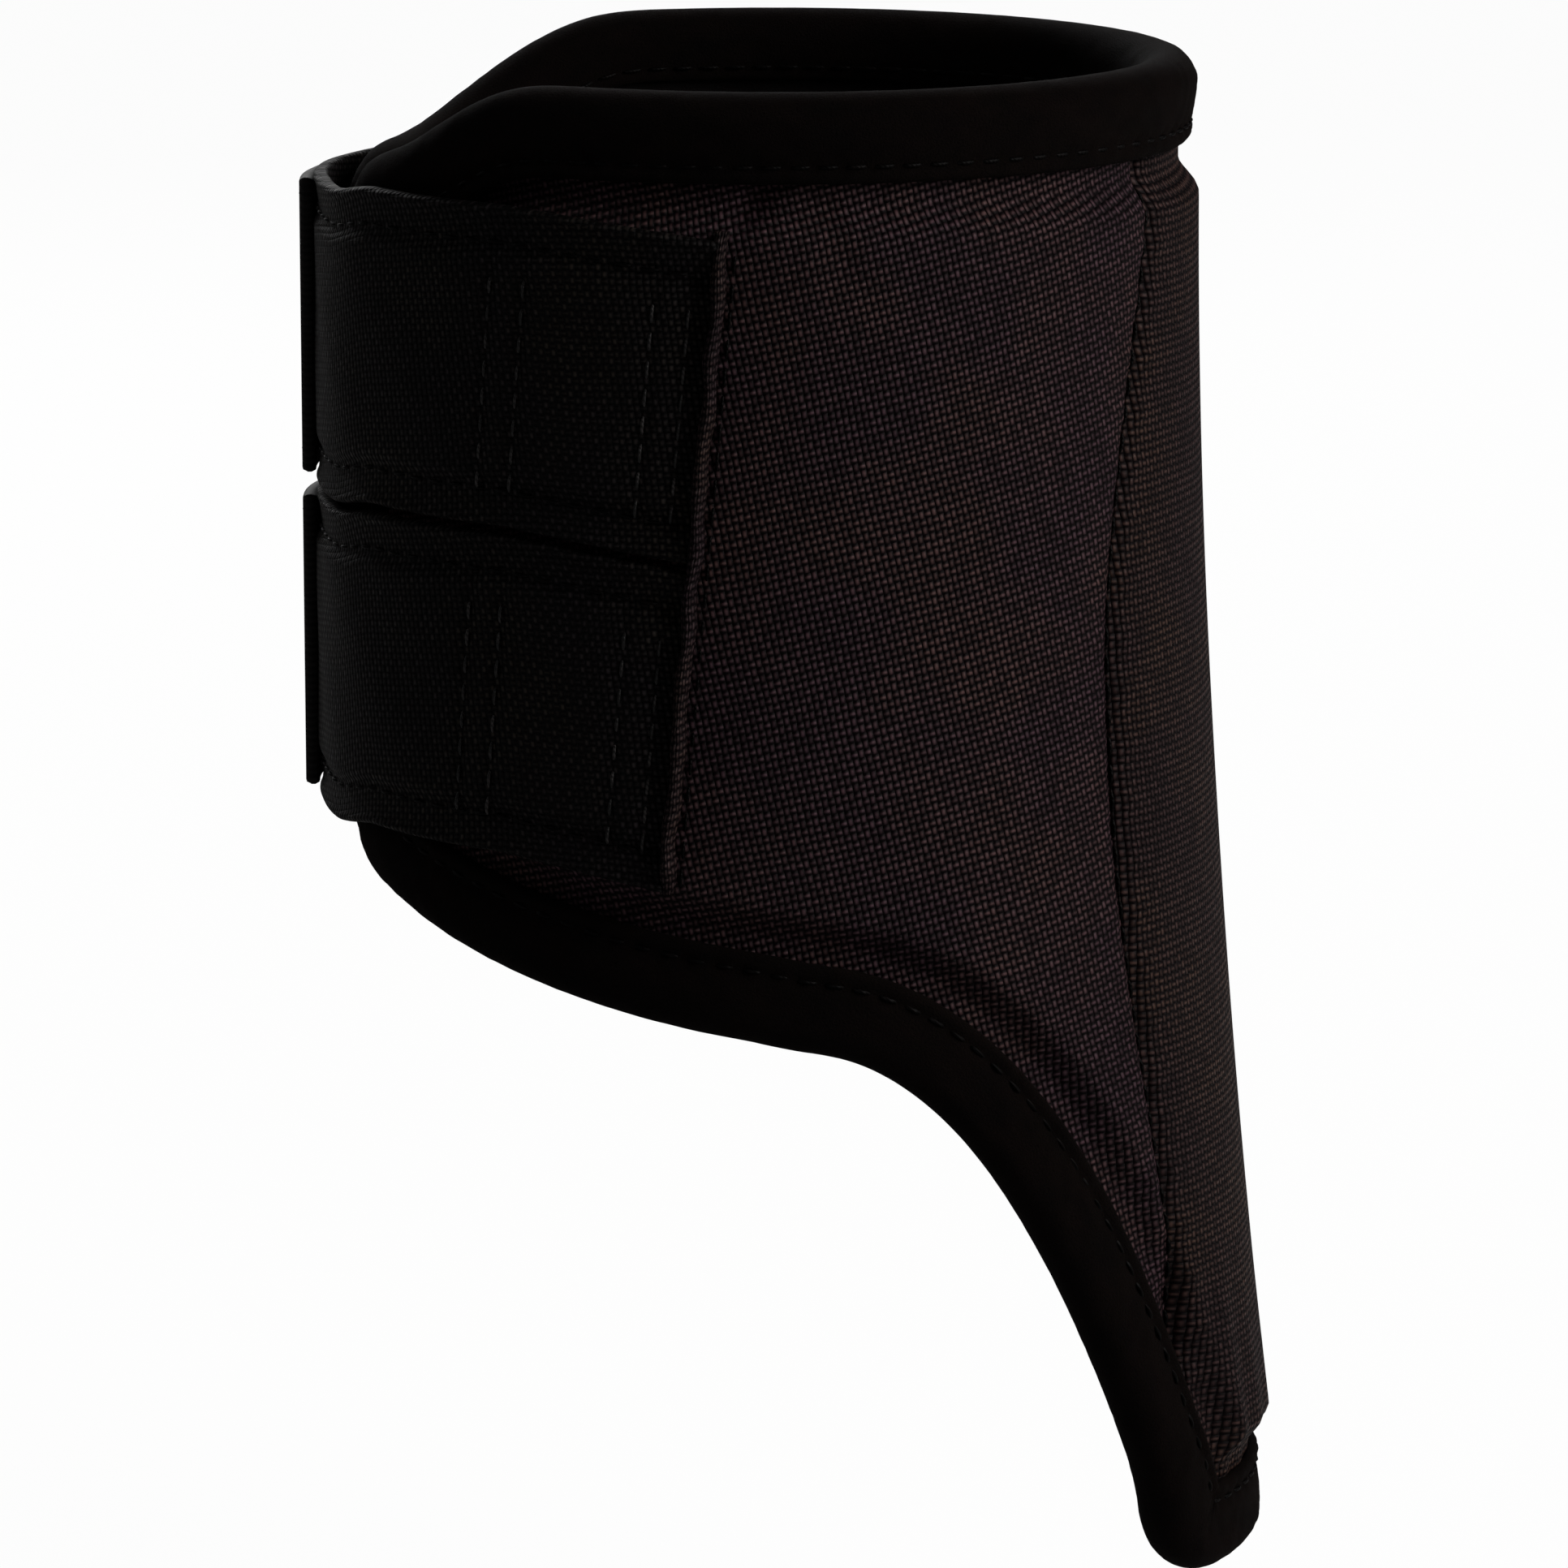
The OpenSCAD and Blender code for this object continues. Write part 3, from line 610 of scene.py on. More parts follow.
def rear_face(p, z, w):
    """Offset of the rear cloth before it swells, with the gathers at the tip."""
    t = out_face(w) + seam_draw(p, z)
    t = t + 0.2 * np.sin(p / 7.0 + 0.5) * np.sin(z / 21.0)
    across = p * pitch(p, z)
    low = ease(145, 186, -z) * (1 - ease(0, 10, 14 - w))
    gather = np.sin(across * 2 * np.pi / 7.5 + 0.8 * np.sin(z / 9.0)) * low
    return t + 0.5 * gather * (0.35 + 0.65 * ease(12, 24, np.abs(p)))


u = crowd(80, 0.4)[None, :]
p = mix(-seam_p[:, None], seam_p[:, None], u)
z = mix(shell_edge(p, -1), shell_edge(p, 1), crowd(150)[:, None])
w = to_edge(p, z)
face = rear_face(p, z, w)
face = face + swell("rear", p, z, face, held_at(p, z, w), SWELL_CAP)
rear_panel = closed_cloth("rear_panel", on_boot(p, z, face),
                          on_boot(p, z, in_face(w) + LINING + 0.1), thread_map(p, z), shaded_rear_nylon)
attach(rear_panel, "shell")
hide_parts("rear_cover", "rear_foam", "rear_pad")


# The edge bindings -----------------------------------------------------------
# Napped velour tape, folded over the raw edge of the wall and stitched through
# once. One length goes round the rim and one round the lower edge, and they
# meet in front, behind the straps.

FOLD_OUT, FOLD_IN, RIM_BAND, TAIL_BAND, STITCH = -0.35, -8.15, 11.0, 11.5, 3.5
velour = napped("velour tape", (0.0004, 0.00015, 0.00012), (0.0034, 0.0016, 0.0012),
                0.00032, 0.004, 2.0, 0.00045, 0.006, (0.5, 0.32, 0.25))


def band_section(width):
    """Way in from the crest and offset, along the outside and the inside."""
    r, m = (FOLD_OUT - FOLD_IN) / 2, (FOLD_OUT + FOLD_IN) / 2
    turn, samples = np.radians(np.linspace(90, -90, 21)), 54
    out = [(width + 0.05, -SINK + 0.3), (width + 0.1, -1.9), (width - 0.1, -1.25),
           (width - 0.7, -0.95), (width - 1.4, -1.05), (width - 2.1, -1.3),
           (width - 2.8, -1.0), (width - 3.8, -0.68), (width - 5.2, -0.46), (r + 0.9, -0.36)]
    back = [(r + 1.2, FOLD_IN), (6.6, FOLD_IN + 0.05), (7.4, FOLD_IN + 0.3), (8.2, FOLD_IN + 0.12),
            (8.9, FOLD_IN + 0.25), (9.2, FOLD_IN + 0.75), (9.2, -WALL + TUCK - 0.35)]
    bend = [(r - r * np.cos(a), m + r * np.sin(a)) for a in turn]
    outer = np.array(out + bend + back)
    fine = np.concatenate([[0], np.cumsum(np.hypot(*np.diff(outer, axis=0).T))])
    at = np.linspace(0, fine[-1], samples)
    outer = along(at, fine, outer)
    lip = np.array([(width, -SINK + 0.2), (2.4, -SINK + 0.2), (1.3, m + 1.4), (1.3, m - 1.4),
                    (2.4, -WALL + TUCK - 0.2), (9.0, -WALL + TUCK - 0.2)])
    inner = along(np.linspace(0, 1, samples), np.linspace(0, 1, 6), lip)
    return outer, inner, at


def inward(path, up):
    """The way in from a binding's crest, in degrees and mm to one mm."""
    k = pitch(path[:, 0], path[:, 1])
    dx, dz = np.gradient(path[:, 0]) * k, np.gradient(path[:, 1])
    size = np.hypot(dx, dz)
    return up * dz / size / k, -up * dx / size


def binding(name, path, run, up, width):
    """One binding along an edge, drawn in by its stitches and a little uneven."""
    outer, inner, across = band_section(width)
    in_p, in_z = inward(path, up)
    ripple = 0.07 * np.sin(run / 1.9 + 2 * np.sin(run / 7.3)) + 0.05 * np.sin(run / 0.83 + 1)
    grids = []
    for part, live in ((outer, 1.0), (inner, 0.0)):
        way, off = part[:, 0][None, :], part[:, 1][None, :]
        if live:
            pull = np.exp(-((way - (width - 2.1)) / 1.3) ** 2) * (off > -3)
            stitch = 0.16 * np.cos(run * 2 * np.pi / STITCH)[:, None] * pull
            slow = 0.16 * np.sin(run / 11.0 + 1.3 * np.sin(run / 29.0))[:, None]
            fuzz = ripple[:, None] * np.sin(across / 0.9 + 3 * np.sin(run / 3.1)[:, None])
            mid = (FOLD_OUT + FOLD_IN) / 2
            off = off + (stitch + slow * 0.6 + fuzz) * np.sign(off - mid)
        spread_p = path[:, 0][:, None] + in_p[:, None] * way
        spread_z = path[:, 1][:, None] + in_z[:, None] * way
        grids.append(on_boot(spread_p, spread_z, off))
    thread = np.stack(np.broadcast_arrays(run[:, None], across[None, :]), -1) / 1000
    piece = closed_cloth(name, grids[0], grids[1], thread, velour)
    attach(piece, "shell")
    return piece


rim_binding = binding("rim_binding", RIM_LINE, RIM_RUN, 1, RIM_BAND)
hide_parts("top_binding")
tail_binding = binding("tail_binding", HEM_LINE, HEM_RUN, -1, TAIL_BAND)
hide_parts("lower_binding")


# The stitching on the wall ---------------------------------------------------
# Bonded black thread, about seven stitches to 25 mm. One row holds each
# binding down, and one runs down each rear seam.

RIM_ROW, TAIL_ROW, INSIDE_ROW = 8.9, 9.4, 7.4


def thread(name, dark, light, shine):
    """Twisted thread with a painted highlight on some stitches more than others, in bands along the
    twist.
    """
    finish, shader, add, plug = recipe(name)
    place = add("ShaderNodeTexCoord").outputs["Object"]
    twist = add("ShaderNodeTexWave", {"wave_type": "BANDS", "bands_direction": "DIAGONAL"},
                Vector=place, Scale=900.0, Distortion=0.5)
    # Painted highlight: noise picks the stitches that are painted lighter, and the twist bands lighten
    # them in stripes.
    painted_highlight = add("ShaderNodeTexNoise", Vector=place, Scale=240.0, Detail=1.0)
    lit = add("ShaderNodeMapRange", Value=painted_highlight.outputs[0], From_Min=0.42, From_Max=0.66)
    both = add("ShaderNodeMath", {"operation": "MULTIPLY"}, i0=lit.outputs[0],
               i1=twist.outputs["Fac"])
    tone = add("ShaderNodeValToRGB", Fac=both.outputs[0])
    tone.color_ramp.elements[0].color = (*dark, 1)
    tone.color_ramp.elements[1].color = (*light, 1)
    ply = add("ShaderNodeBump", Height=twist.outputs["Fac"], Distance=0.00005, Strength=0.8)
    plug(shader.inputs["Base Color"], tone.outputs[0])
    plug(shader.inputs["Normal"], ply.outputs[0])
    settle(shader, Roughness=0.5, Specular_IOR_Level=shine)
    return finish


# Its light colour is the painted highlight on the stitches.
binding_thread = thread("binding thread", (0.0004, 0.0003, 0.0003), (0.0034, 0.0024, 0.0024), 0.05)


def stitches(name, p, z, t, body=None, length=2.5, thick=0.26, high=0.18, finish=binding_thread):
    """A row of stitches along a line of places on the boot."""
    here = on_boot(p, z, t) * 1000
    up = on_boot(p, z, np.asarray(t) + 1.0) * 1000 - here
    s = np.concatenate([[0], np.cumsum(np.linalg.norm(np.diff(here, axis=0), axis=1))])
    at = np.arange(STITCH / 2, s[-1] - length / 2, STITCH)
    centre, normal = along(at, s, here), along(at, s, up)
    ahead = along(at + 0.4, s, here) - along(at - 0.4, s, here)
    ahead /= np.linalg.norm(ahead, axis=1)[:, None]
    normal -= (normal * ahead).sum(1)[:, None] * ahead
    normal /= np.linalg.norm(normal, axis=1)[:, None]
    beside = np.cross(normal, ahead)
    rings, sides = 9, 7
    x = np.array([-1, -0.93, -0.7, -0.35, 0, 0.35, 0.7, 0.93, 1]) * length / 2
    r = thick * np.array([0.25, 0.6, 0.9, 1, 1, 1, 0.9, 0.6, 0.25])
    arch = high * (1 - (2 * x / length) ** 2) * 1.6 - 0.16
    turn = np.arange(sides) * 2 * np.pi / sides
    ring = np.stack([np.broadcast_to(x[:, None], (rings, sides)), r[:, None] * np.cos(turn),
                     arch[:, None] + r[:, None] * np.sin(turn)], -1).reshape(-1, 3)
    points = (centre[:, None, :] + ring[None, :, :1] * ahead[:, None, :]
              + ring[None, :, 1:2] * beside[:, None, :] + ring[None, :, 2:] * normal[:, None, :])
    faces = []
    for first in range(0, len(at) * rings * sides, rings * sides):
        for a in range(first, first + (rings - 1) * sides, sides):
            faces += [(a + j, a + (j + 1) % sides, a + sides + (j + 1) % sides, a + sides + j)
                      for j in range(sides)]
        last = first + (rings - 1) * sides
        faces += [tuple(range(first + sides - 1, first - 1, -1)), tuple(range(last, last + sides))]
    mesh = bpy.data.meshes.new(name)
    mesh.from_pydata((points.reshape(-1, 3) / 1000).tolist(), [], faces)
    mesh.shade_smooth()
    mesh.materials.append(finish)
    row = bpy.data.objects.new(name, mesh)
    studio.collection.objects.link(row)
    if body:
        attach(row, body)
    return row


def beside_edge(path, up, way):
    """The line that keeps a set way in from a binding's crest."""
    in_p, in_z = inward(path, up)
    return path[:, 0] + in_p * way, path[:, 1] + in_z * way


p, z = beside_edge(RIM_LINE, 1, RIM_ROW)
stitches("rim_stitching", p, z, -1.25, "shell")
p, z = beside_edge(RIM_LINE, 1, INSIDE_ROW)
stitches("rim_stitching_inside", p, z, FOLD_IN + 0.25, "shell", high=-0.12, thick=0.22)
p, z = beside_edge(HEM_LINE, -1, TAIL_ROW)
stitches("tail_stitching", p, z, -1.25, "shell")
p, z = beside_edge(HEM_LINE, -1, INSIDE_ROW)
stitches("tail_stitching_inside", p, z, FOLD_IN + 0.25, "shell", high=-0.12, thick=0.22)
z = np.linspace(-14.5, -184, 300)
for s, name in ((-1, "near_seam_stitching"), (1, "far_seam_stitching")):
    p = s * seam_at(z)
    w = to_edge(p, z)
    clear = w > 13
    stitches(name, p[clear], z[clear], (out_face(w) - 1.5)[clear], "shell", thick=0.24)


# The strap seam --------------------------------------------------------------
# The cover is cut along a leaning line on the strap side. The strap ends go
# in there, and a rolled edge of the same nylon, sewn over, closes the cut.

STRAP_TOP, STRAP_W, STRAP_GAP, STRAP_T, SWEEP, BOW = 16.0, 40.2, 1.0, 2.2, 1.8, 1.6


def strap_z(i):
    """Height of the top of the upper (0) or lower (1) strap."""
    return -STRAP_TOP - i * (STRAP_W + STRAP_GAP)


def sweep(p, z):
    """Height of a strap over its own level between the front edge and its seam."""
    fall = np.maximum(0, (p + 127) / (127 + welt_at(z))) ** 1.25
    return BOW * ease(3, 18, p + 168) - (BOW + SWEEP) * fall


# A darker copy of the cover's nylon: the lower colours are painted shade, for straps that face away
# from the light.
shaded_strap_nylon = woven("shaded strap nylon", (0.0004, 0.0002, 0.0003), (0.023, 0.019, 0.0205), 0.14,
                    0.0002, 0.42, 0.06, 0.001, (0.8, 0.65, 0.66), up=0.00081, weft=0.4)
# Its light colour is the painted highlight on the cross stitches.
strap_thread = thread("strap thread", (0.0008, 0.0007, 0.0007), (0.030, 0.026, 0.026), 0.25)

z = np.linspace(strap_z(1) - STRAP_W - SWEEP - 0.3, strap_z(0) - SWEEP + 1.2, 260)[:, None]
a = np.radians(np.linspace(180, 0, 17))[None, :]
fade = np.minimum(1, np.sin(np.clip((z - z.min()) / 4, 0, 1) * np.pi / 2)
                  * np.sin(np.clip((z.max() - z) / 4, 0, 1) * np.pi / 2)) * 0.75 + 0.25
bead = 2.9 + 0.2 * np.sin(z / 1.7 + 2 * np.sin(z / 9)) + 0.16 * np.cos(z * 2 * np.pi / 2.9)
c = welt_at(z) + 0.18 * np.sin(z / 2.3 + np.sin(z / 5.1))
wide = (0.85 + 0.12 * np.sin(z / 1.3 + 1)) * np.cos(a) / pitch(c, z)
welt_out = on_boot(c + wide, z, 0.1 + fade * bead * np.sin(a) ** 0.8)
welt_in = on_boot(c + wide, z, -0.35)
roll = np.stack(np.broadcast_arrays((1 - a / np.pi) * 0.006, z / 1000), -1)
# A darker copy of the cover's nylon: the lower colours are painted shade, so the raised roll catches
# less light.
shaded_welt_nylon = woven("shaded welt nylon", (0.0012, 0.0002, 0.0006), (0.044, 0.028, 0.032), 0.03,
                   0.0002, 0.4, 0.06, 0.001, (0.8, 0.65, 0.66))
welt = closed_cloth("strap_seam_roll", welt_out, welt_in, roll, shaded_welt_nylon)
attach(welt, "shell")
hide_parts("strap_welt")
z = np.linspace(strap_z(1) - STRAP_W - SWEEP, strap_z(0) - SWEEP, 200)
stitches("seam_roll_stitching", welt_at(z) + 1.7 / pitch(-95, z), z, 0.0, "shell", thick=0.2)


# The loop panel --------------------------------------------------------------
# Short loop pile sewn flat onto the plain side, a little bigger than both
# strap ends together.

loop_pile = napped("loop pile", (0.0012, 0.001, 0.001), (0.007, 0.006, 0.006),
                   0.00045, 0.003, 1.0, 0.0005, 0.02, (0.4, 0.34, 0.34))
LOOP_OVER, LOOP_R, LOOP_ROW = 0.5, 8.0, 2.5
LOOP_TOP, LOOP_LOW = strap_z(0) + LOOP_OVER, strap_z(1) - STRAP_W - LOOP_OVER
LOOP_BACK = -250 - 13 / float(pitch(-250, SPLIT_Z))
LOOP_FRONT = -360 + FAR_END - 18 / float(pitch(FAR_END, SPLIT_Z))
v, u = crowd(90, 0.5)[:, None], crowd(80, 0.5)[None, :]
p = mix(LOOP_BACK, LOOP_FRONT, u) + 0 * v
k = pitch(p, SPLIT_Z)
d = np.maximum(0, LOOP_R - np.minimum(p - LOOP_BACK, LOOP_FRONT - p) * k)
cut = LOOP_R - np.sqrt(np.maximum(0, LOOP_R ** 2 - d ** 2))
z = mix(LOOP_LOW + cut, LOOP_TOP - cut, v)
edge = np.minimum.reduce([z - LOOP_LOW - cut, LOOP_TOP - cut - z, (p - LOOP_BACK) * k,
                          (LOOP_FRONT - p) * k])
loop_t = 0.25 + 0.5 * np.sqrt(ease(-0.3, 1.0, edge)) - 0.25 * np.exp(-((edge - LOOP_ROW) / 0.7) ** 2)
loop_panel = closed_cloth("loop_pile_panel", on_boot(p, z, loop_t), on_boot(p, z, 0.02),
                          thread_map(p, z), loop_pile)
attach(loop_panel, "shell")
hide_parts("loop_panel")
up_row = np.linspace(LOOP_LOW + LOOP_ROW, LOOP_TOP - LOOP_ROW, 60)
along_row = np.linspace(LOOP_BACK + LOOP_ROW / 0.9, LOOP_FRONT - LOOP_ROW, 60)
for name, p, z in (("loop_stitching_back", along_row[0], up_row),
                   ("loop_stitching_top", along_row, up_row[-1]),
                   ("loop_stitching_low", along_row, up_row[0])):
    stitches(name, np.broadcast_to(p, 60), np.broadcast_to(z, 60), 0.6, "shell", thick=0.2)


# The straps ------------------------------------------------------------------
# Each is the cover's nylon folded double, with a rolled hem on both long
# sides. It leaves the strap side at the front, goes over to the plain side,
# and ends in rounded corners.

P_END, P_JOIN = -250.0, -186.0
LIFT, STRAP_R, LAY = 1.9, 9.0, 0.1
HEM_ROW, SUNK, CROSS_ROWS = 4.6, 0.62, (-30.0, -25.0, -7.8, -3.4)
SEAM_DIP, DIP_WIDE = 1.2, 3.5


def strap_in(p):
    """Offset of a strap's inner face, which lifts over the far wing's binding."""
    return LIFT * ease(172, 198, -np.asarray(p, float))


def hem_profile(s):
    """Offset of a strap's outer face at a way s in from its long side."""
    return (-0.9 * (1 - np.sqrt(1 - (1 - np.clip(s / 0.8, 0, 1)) ** 2))
            - 0.3 * ease(0.5, 1.6, s) * (1 - ease(4.8, 6.6, s))
            - 0.4 * ease(0.6, 4.9, s) * (1 - ease(5.1, 6.8, s)))


def stitch_pull(p, z):
    """The dip beside the seam, and under the stitch rows that cross a strap."""
    t = -SEAM_DIP * np.exp(-((p - welt_at(z)) * pitch(p, z) / DIP_WIDE) ** 2)
    for off in CROSS_ROWS:
        d = (p - welt_at(z) - off) * pitch(p, z)
        t = t - 0.32 * np.exp(-(d / 0.8) ** 2)
    return t


def strap_piece(name, i, first, last, cols, rounded=0.0, rows=70):
    """Part of strap i between two angles, first being the farther round."""
    z1 = strap_z(i)
    s = crowd(rows, 0.75)[:, None] * STRAP_W
    z = z1 - STRAP_W + s
    d = np.maximum(0, rounded - np.minimum(s, STRAP_W - s))
    a = first(z) + (rounded - np.sqrt(np.maximum(0, rounded ** 2 - d ** 2))) / pitch(P_END, z)
    b = last(z)
    u = (crowd(cols, 0.3) if rounded else np.linspace(0, 1, cols + 1))[None, :]
    p = mix(a, b, u)
    z = z + 0 * u
    side = np.minimum(s, STRAP_W - s) + 0 * u
    tip = (p - a) * pitch(p, z) if rounded else side + 9
    away = np.minimum(side, tip)
    t = STRAP_T + hem_profile(away) + stitch_pull(p, z) * ease(3, 6, side)
    t = t + 0.13 * np.sin(p / 4.3 + z / 9.0 + i) * np.sin(z / 6.0 + p / 15.0) * ease(2, 8, side)
    low = LAY + 0.55 * (1 - np.sqrt(1 - (1 - np.clip(away / 1.0, 0, 1)) ** 2))
    base = strap_in(p)
    flat = thread_map(p, z)
    z = z + sweep(p, z)
    return closed_cloth(name, on_boot(p, z, base + t), on_boot(p, z, base + np.minimum(low, t - 0.3)),
                        flat, shaded_strap_nylon)


def where(p, i):
    return tuple(on_boot(p, strap_z(i) - STRAP_W / 2, strap_in(p)))


def across_join(piece, i, side):
    """Bakes the piece's place into its mesh. Side 1 is the bend at the front edge,
    side 2 the bend onto the plain side; the strap's places there are only worked out, not used."""
    if side == 1:
        where(-160, i)
        where(-176, i)
        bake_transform(piece)
    else:
        where(-193, i)
        where(-207, i)
        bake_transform(piece)


for i, row in enumerate(("upper", "lower")):
    low_z, top_z = strap_z(i) - STRAP_W, strap_z(i)
    base = strap_piece(row + "_strap_sewn_part", i, lambda z: z * 0 + P_JOIN,
                       lambda z: welt_at(z - SWEEP) - 0.3, 130)
    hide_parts(row + "_strap_base", row + "_strap_bend")
    tip = strap_piece(row + "_strap_closing_part", i, lambda z: z * 0 + P_END,
                      lambda z: z * 0 + P_JOIN, 90, STRAP_R)
    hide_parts(row + "_strap_end")
    across_join(base, i, 1)
    across_join(tip, i, 2)
    # The hem stitches run along both long sides, and the cross rows hold the
    # strap down beside its seam.
    for edge_name, z in (("top", top_z - HEM_ROW), ("low", low_z + HEM_ROW)):
        p = np.linspace(float(welt_at(z)) - 3.5, P_JOIN, 120)
        sewn = stitches(f"{row}_{edge_name}_hem_stitching", p, z + sweep(p, z),
                        strap_in(p) + STRAP_T - SUNK, thick=0.2, length=2.3)
        across_join(sewn, i, 1)
        p = np.linspace(P_JOIN, P_END + 5.5, 80)
        sewn = stitches(f"{row}_{edge_name}_tip_stitching", p, np.full(80, z),
                        strap_in(p) + STRAP_T - SUNK, thick=0.2, length=2.3)
        across_join(sewn, i, 2)
    for n, off in enumerate(CROSS_ROWS):
        z = np.linspace(low_z + 4, top_z - 8.5, 60)
        p = welt_at(z) + off
        dip = SEAM_DIP * np.exp(-(off * pitch(p, z) / DIP_WIDE) ** 2)
        stitches(f"{row}_cross_stitching_{n + 1}", p, z + sweep(p, z), STRAP_T - 0.28 - dip, "shell",
                 thick=0.22, length=2.4, finish=strap_thread)


# The hook and loop tapes on the straps ---------------------------------------
# A woven tape is sewn over the outside of each strap's closing part, and a
# thin hook tape under it grips the loop panel.

TAPE_W, TAPE_T, HOOK_T, TAPE_ROW = 38.2, 1.8, 0.8, 3.5


def ribbed(name, ribs, picks, detail, mixing, dark, light, start, depth, rough):
    """Narrow woven goods: ribs along it and finer picks across, each with its
    scale and how far it wanders. Mixing takes the ribs, then the picks."""
    finish, shader, add, plug = recipe(name)
    cloth = add("ShaderNodeUVMap", {"uv_map": "thread"})
    rib, pick = (add("ShaderNodeTexWave", {"wave_type": "BANDS", "bands_direction": way},
                     Vector=cloth.outputs[0], Scale=scale, Distortion=wander,
                     Detail=detail).outputs["Fac"]
                 for way, (scale, wander) in (("Y", ribs), ("X", picks)))
    if mixing:
        both = add("ShaderNodeMath", {"operation": "MULTIPLY_ADD"}, i0=rib, i1=mixing, i2=pick)
    else:
        both = add("ShaderNodeMath", {"operation": "MULTIPLY"}, i0=rib, i1=pick)
    tone = add("ShaderNodeValToRGB", Fac=both.outputs[0])
    tone.color_ramp.elements[0].position = start
    tone.color_ramp.elements[0].color = (*dark, 1)
    tone.color_ramp.elements[1].color = (*light, 1)
    relief = add("ShaderNodeBump", Height=both.outputs[0], Distance=depth, Strength=0.9)
    plug(shader.inputs["Base Color"], tone.outputs[0])
    plug(shader.inputs["Normal"], relief.outputs[0])
    settle(shader, Roughness=rough, Specular_IOR_Level=0.12)
    return finish


tape_ground = ribbed("woven tape", (330.0, 0.6), (520.0, 0.8), 1.0, None,
                     (0.0009, 0.0007, 0.0007), (0.008, 0.0065, 0.0065), 0.0, 0.00012, 0.62)


def tape(name, i, a, b, low, high, cols, crown=0.0):
    """A flat tape with eased edges, between two offsets from a strap's inner face."""
    s = crowd(44, 0.7)[:, None] * TAPE_W
    z = strap_z(i) - (STRAP_W - TAPE_W) / 2 - TAPE_W + s
    p = mix(a, b, crowd(cols, 0.5)[None, :]) + 0 * s
    z = z + 0 * p
    k = pitch(p, z)
    away = np.minimum.reduce([s + 0 * p, TAPE_W - s + 0 * p, (p - a) * k, (b - p) * k])
    ease_in = 1 - np.sqrt(1 - (1 - np.clip(away / 0.5, 0, 1)) ** 2)
    mid = (low + high) / 2
    top = high - (high - mid) * 0.7 * ease_in - 0.15 * np.exp(-((away - 2.4) / 0.6) ** 2) * crown
    bottom = low + (mid - low) * 0.7 * ease_in
    return closed_cloth(name, on_boot(p, z, strap_in(p) + top), on_boot(p, z, strap_in(p) + bottom),
                        thread_map(p, z), tape_ground)


for i, row in enumerate(("upper", "lower")):
    outer_tape = tape(row + "_outer_tape", i, P_END + STRAP_R, -183.0, STRAP_T - 0.05,
                      STRAP_T + TAPE_T, 90, 1)
    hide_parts(row + "_front_tape", row + "_back_tape")
    across_join(outer_tape, i, 2)
    for n, z in enumerate((strap_z(i) - TAPE_ROW, strap_z(i) - STRAP_W + TAPE_ROW)):
        p = np.linspace(P_END + STRAP_R + 2.6, -185.5, 100)
        sewn = stitches(f"{row}_tape_stitching_{n + 1}", p, np.full(100, z),
                        strap_in(p) + STRAP_T + TAPE_T - 0.1, thick=0.2, length=2.3)
        across_join(sewn, i, 2)
    hook = tape(row + "_hook_strip", i, P_END + STRAP_R + 1, -204.5, -HOOK_T, -0.02 + LAY, 60)
    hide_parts(row + "_hook_tape")
    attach(hook, row + "_end")


# The pull tabs ---------------------------------------------------------------
# Narrow ribbed webbing folded to a tongue and sewn into each strap's end.

TAB_W, TAB_L, TAB_R = 20.0, 11.0, 4
webbing = ribbed("ribbed webbing", (190.0, 0.3), (300.0, 0.5), 2.0, 0.7,
                 (0.0012, 0.001, 0.001), (0.012, 0.010, 0.010), 0.3, 0.0002, 0.6)

for i, row in enumerate(("upper", "lower")):
    s = crowd(34, 0.7)[:, None] * TAB_W
    z = strap_z(i) - (STRAP_W - TAB_W) / 2 - TAB_W + s
    k = float(pitch(P_END, -60))
    d = np.maximum(0, TAB_R - np.minimum(s, TAB_W - s))
    a = P_END - (TAB_L - TAB_R + np.sqrt(TAB_R ** 2 - d ** 2)) / k
    p = mix(a, P_END + 1.5, crowd(24, 0.4)[None, :])
    z = z + 0 * p
    away = np.minimum.reduce([s + 0 * p, TAB_W - s + 0 * p, (p - a) * pitch(p, z)])
    round_in = 1 - np.sqrt(1 - (1 - np.clip(away / 0.7, 0, 1)) ** 2)
    tab = closed_cloth(row + "_tab", on_boot(p, z, strap_in(p) + 2.0 - 0.7 * round_in),
                       on_boot(p, z, strap_in(p) + 0.3 + 0.6 * round_in), thread_map(p, z), webbing)
    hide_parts(row + "_pull_tab")
    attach(tab, row + "_end")


# The floor, the light and the camera -----------------------------------------
# A plain white floor a little under the tail, one big soft light behind the
# right, three weak ones that open the shadows, and a long lens a little above.

FLOOR_Z, FLOOR_HALF = -0.222, 4


def white_to_camera(tree, behind, strength, share):
    """Mixes what is behind with plain white where the camera sees it."""
    nodes, links = tree.nodes, tree.links
    path, glow, blend = (nodes.new("ShaderNode" + kind)
                         for kind in ("LightPath", "Emission", "MixShader"))
    glow.inputs["Strength"].default_value = strength
    by = nodes.new("ShaderNodeMath")
    by.operation = "MULTIPLY"
    links.new(path.outputs["Is Camera Ray"], by.inputs[0])
    by.inputs[1].default_value = share
    links.new(by.outputs[0], blend.inputs[0])
    links.new(behind, blend.inputs[1])
    links.new(glow.outputs[0], blend.inputs[2])
    return blend.outputs[0]


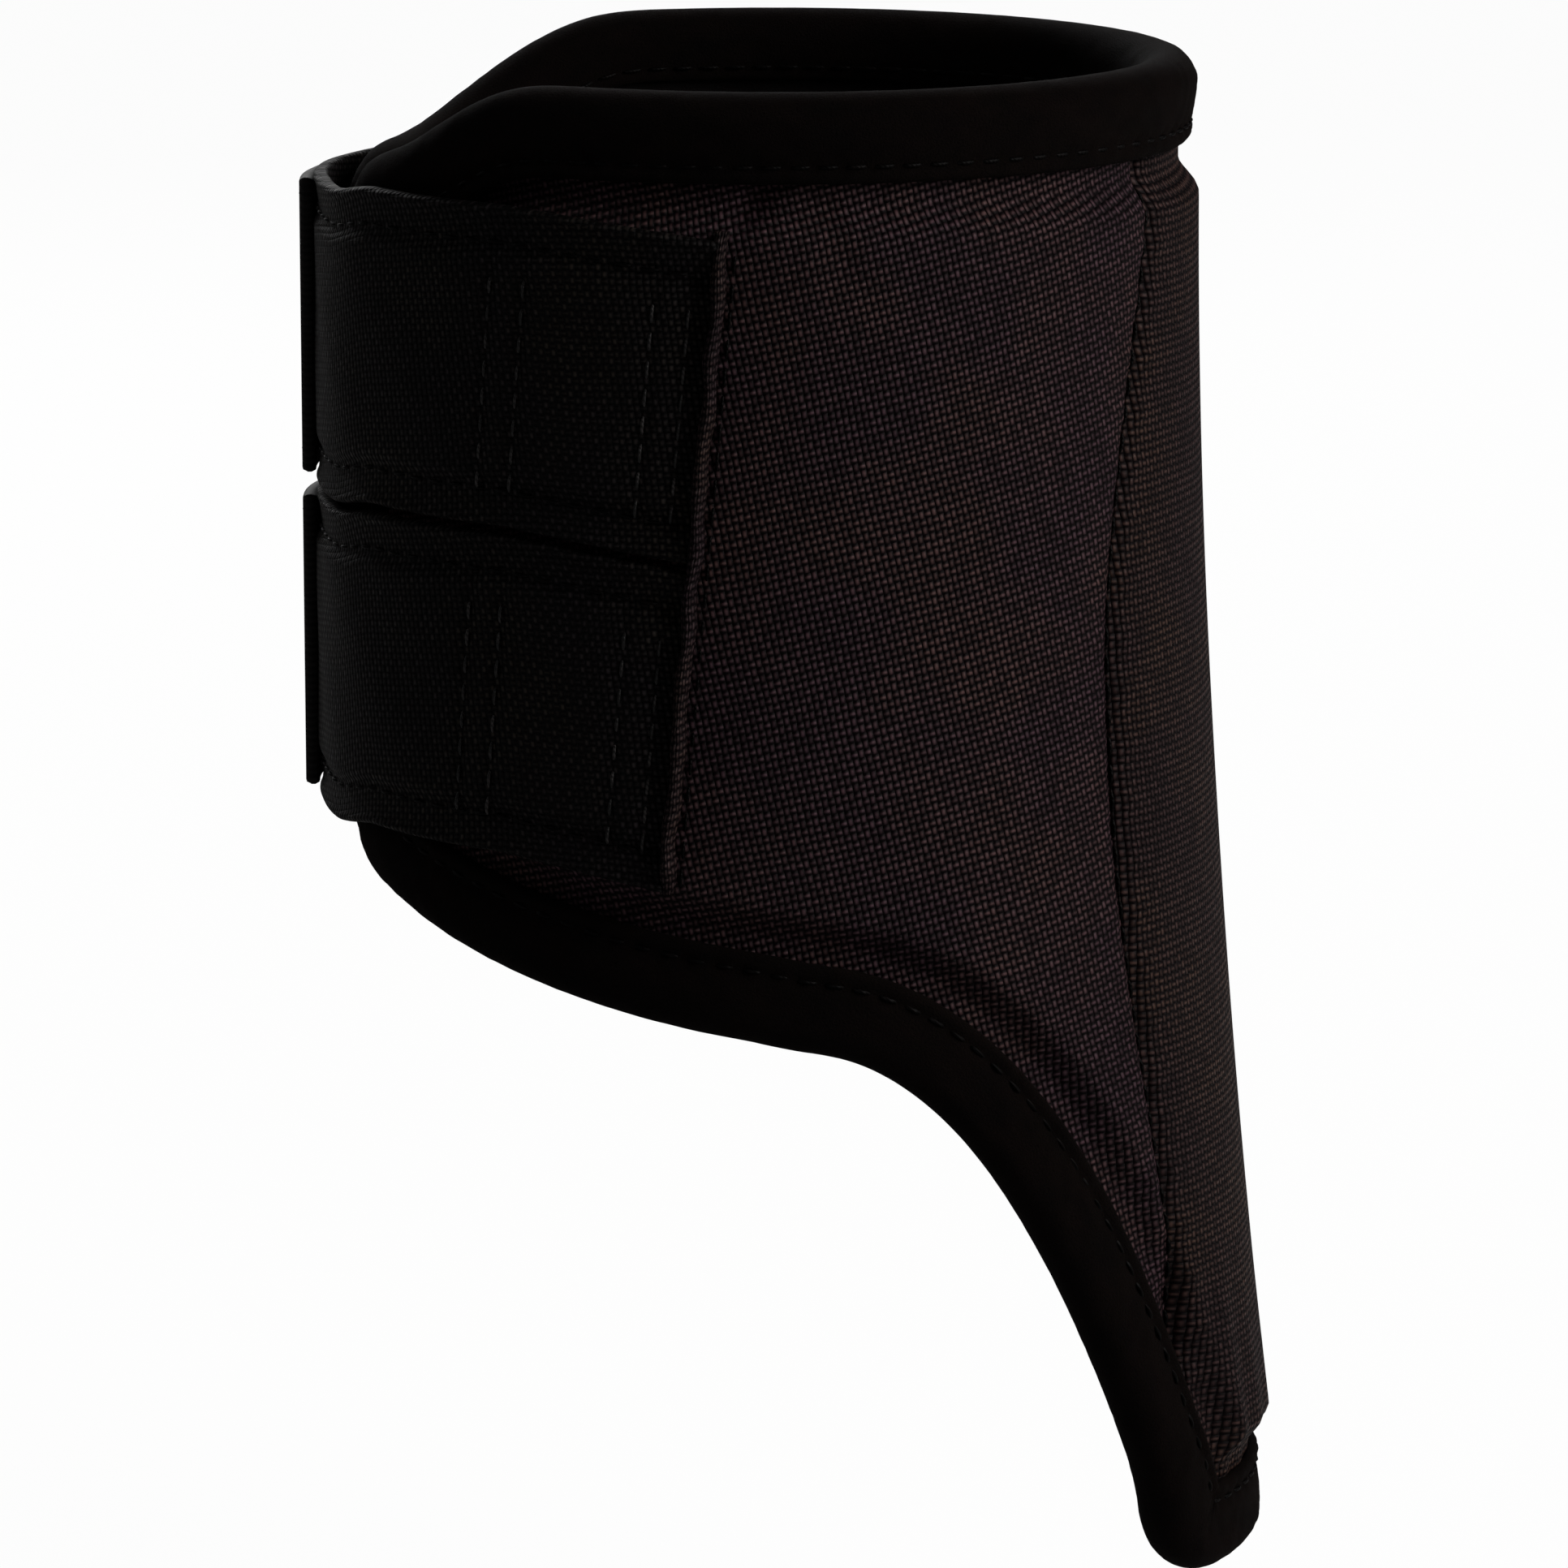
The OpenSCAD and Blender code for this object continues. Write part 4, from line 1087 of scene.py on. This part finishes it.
floor_mesh = bpy.data.meshes.new("floor")
corners = [(x * FLOOR_HALF, y * FLOOR_HALF, FLOOR_Z) for x, y in ((-1, -1), (1, -1), (1, 1), (-1, 1))]
floor_mesh.from_pydata(corners, [], [(0, 1, 2, 3)])
floor = bpy.data.objects.new("floor", floor_mesh)
studio.collection.objects.link(floor)
paper = bpy.data.materials.new("pale paper")
paper.use_nodes = True
paper.node_tree.nodes.clear()
matt = paper.node_tree.nodes.new("ShaderNodeBsdfDiffuse")
matt.inputs[0].default_value = (0.45, 0.45, 0.45, 1)
out = paper.node_tree.nodes.new("ShaderNodeOutputMaterial")
paper.node_tree.links.new(white_to_camera(paper.node_tree, matt.outputs[0], 1.02, 0.95), out.inputs[0])
floor_mesh.materials.append(paper)

room = bpy.data.worlds.new("room")
studio.world = room
room.use_nodes = True
dim = room.node_tree.nodes["Background"]
dim.inputs[0].default_value = (1, 0.98, 0.97, 1)
dim.inputs[1].default_value = 0.012
room.node_tree.links.new(white_to_camera(room.node_tree, dim.outputs[0], 1.0, 1.0),
                         room.node_tree.nodes["World Output"].inputs[0])

centre = Vector((0.001, 0.0, -0.0958))


def soft_light(name, turn, rise, distance, side, watts, colour=(1, 1, 1)):
    """A square soft light, turn degrees round the boot from the back."""
    lamp = bpy.data.lights.new(name, "AREA")
    lamp.shape, lamp.size, lamp.size_y = "RECTANGLE", side, side
    lamp.energy, lamp.color = watts, colour
    holder = bpy.data.objects.new(name, lamp)
    a, e = np.radians(turn), np.radians(rise)
    way = Vector((np.cos(a) * np.cos(e), np.sin(a) * np.cos(e), np.sin(e)))
    holder.location = centre + distance * way
    holder.rotation_euler = (centre - holder.location).to_track_quat("-Z", "Y").to_euler()
    holder.visible_camera = False
    studio.collection.objects.link(holder)


soft_light("key", -21, 30, 1.1, 0.8, 12.4, (1, 0.97, 0.95))
soft_light("fill", -110, 30, 1.8, 0.9, 0.7)
soft_light("back", 103, 28, 1.3, 0.9, 8)
soft_light("front", 172, 30, 1.5, 0.9, 2)

camera = bpy.data.cameras.new("camera")
camera.sensor_width, camera.lens = 36, 194.7
eye = bpy.data.objects.new("camera", camera)
eye.location = (0.001, -1.07596, 0.13290)
eye.rotation_euler = (np.radians(90 - 12), 0, 0)
studio.collection.objects.link(eye)
studio.camera = eye
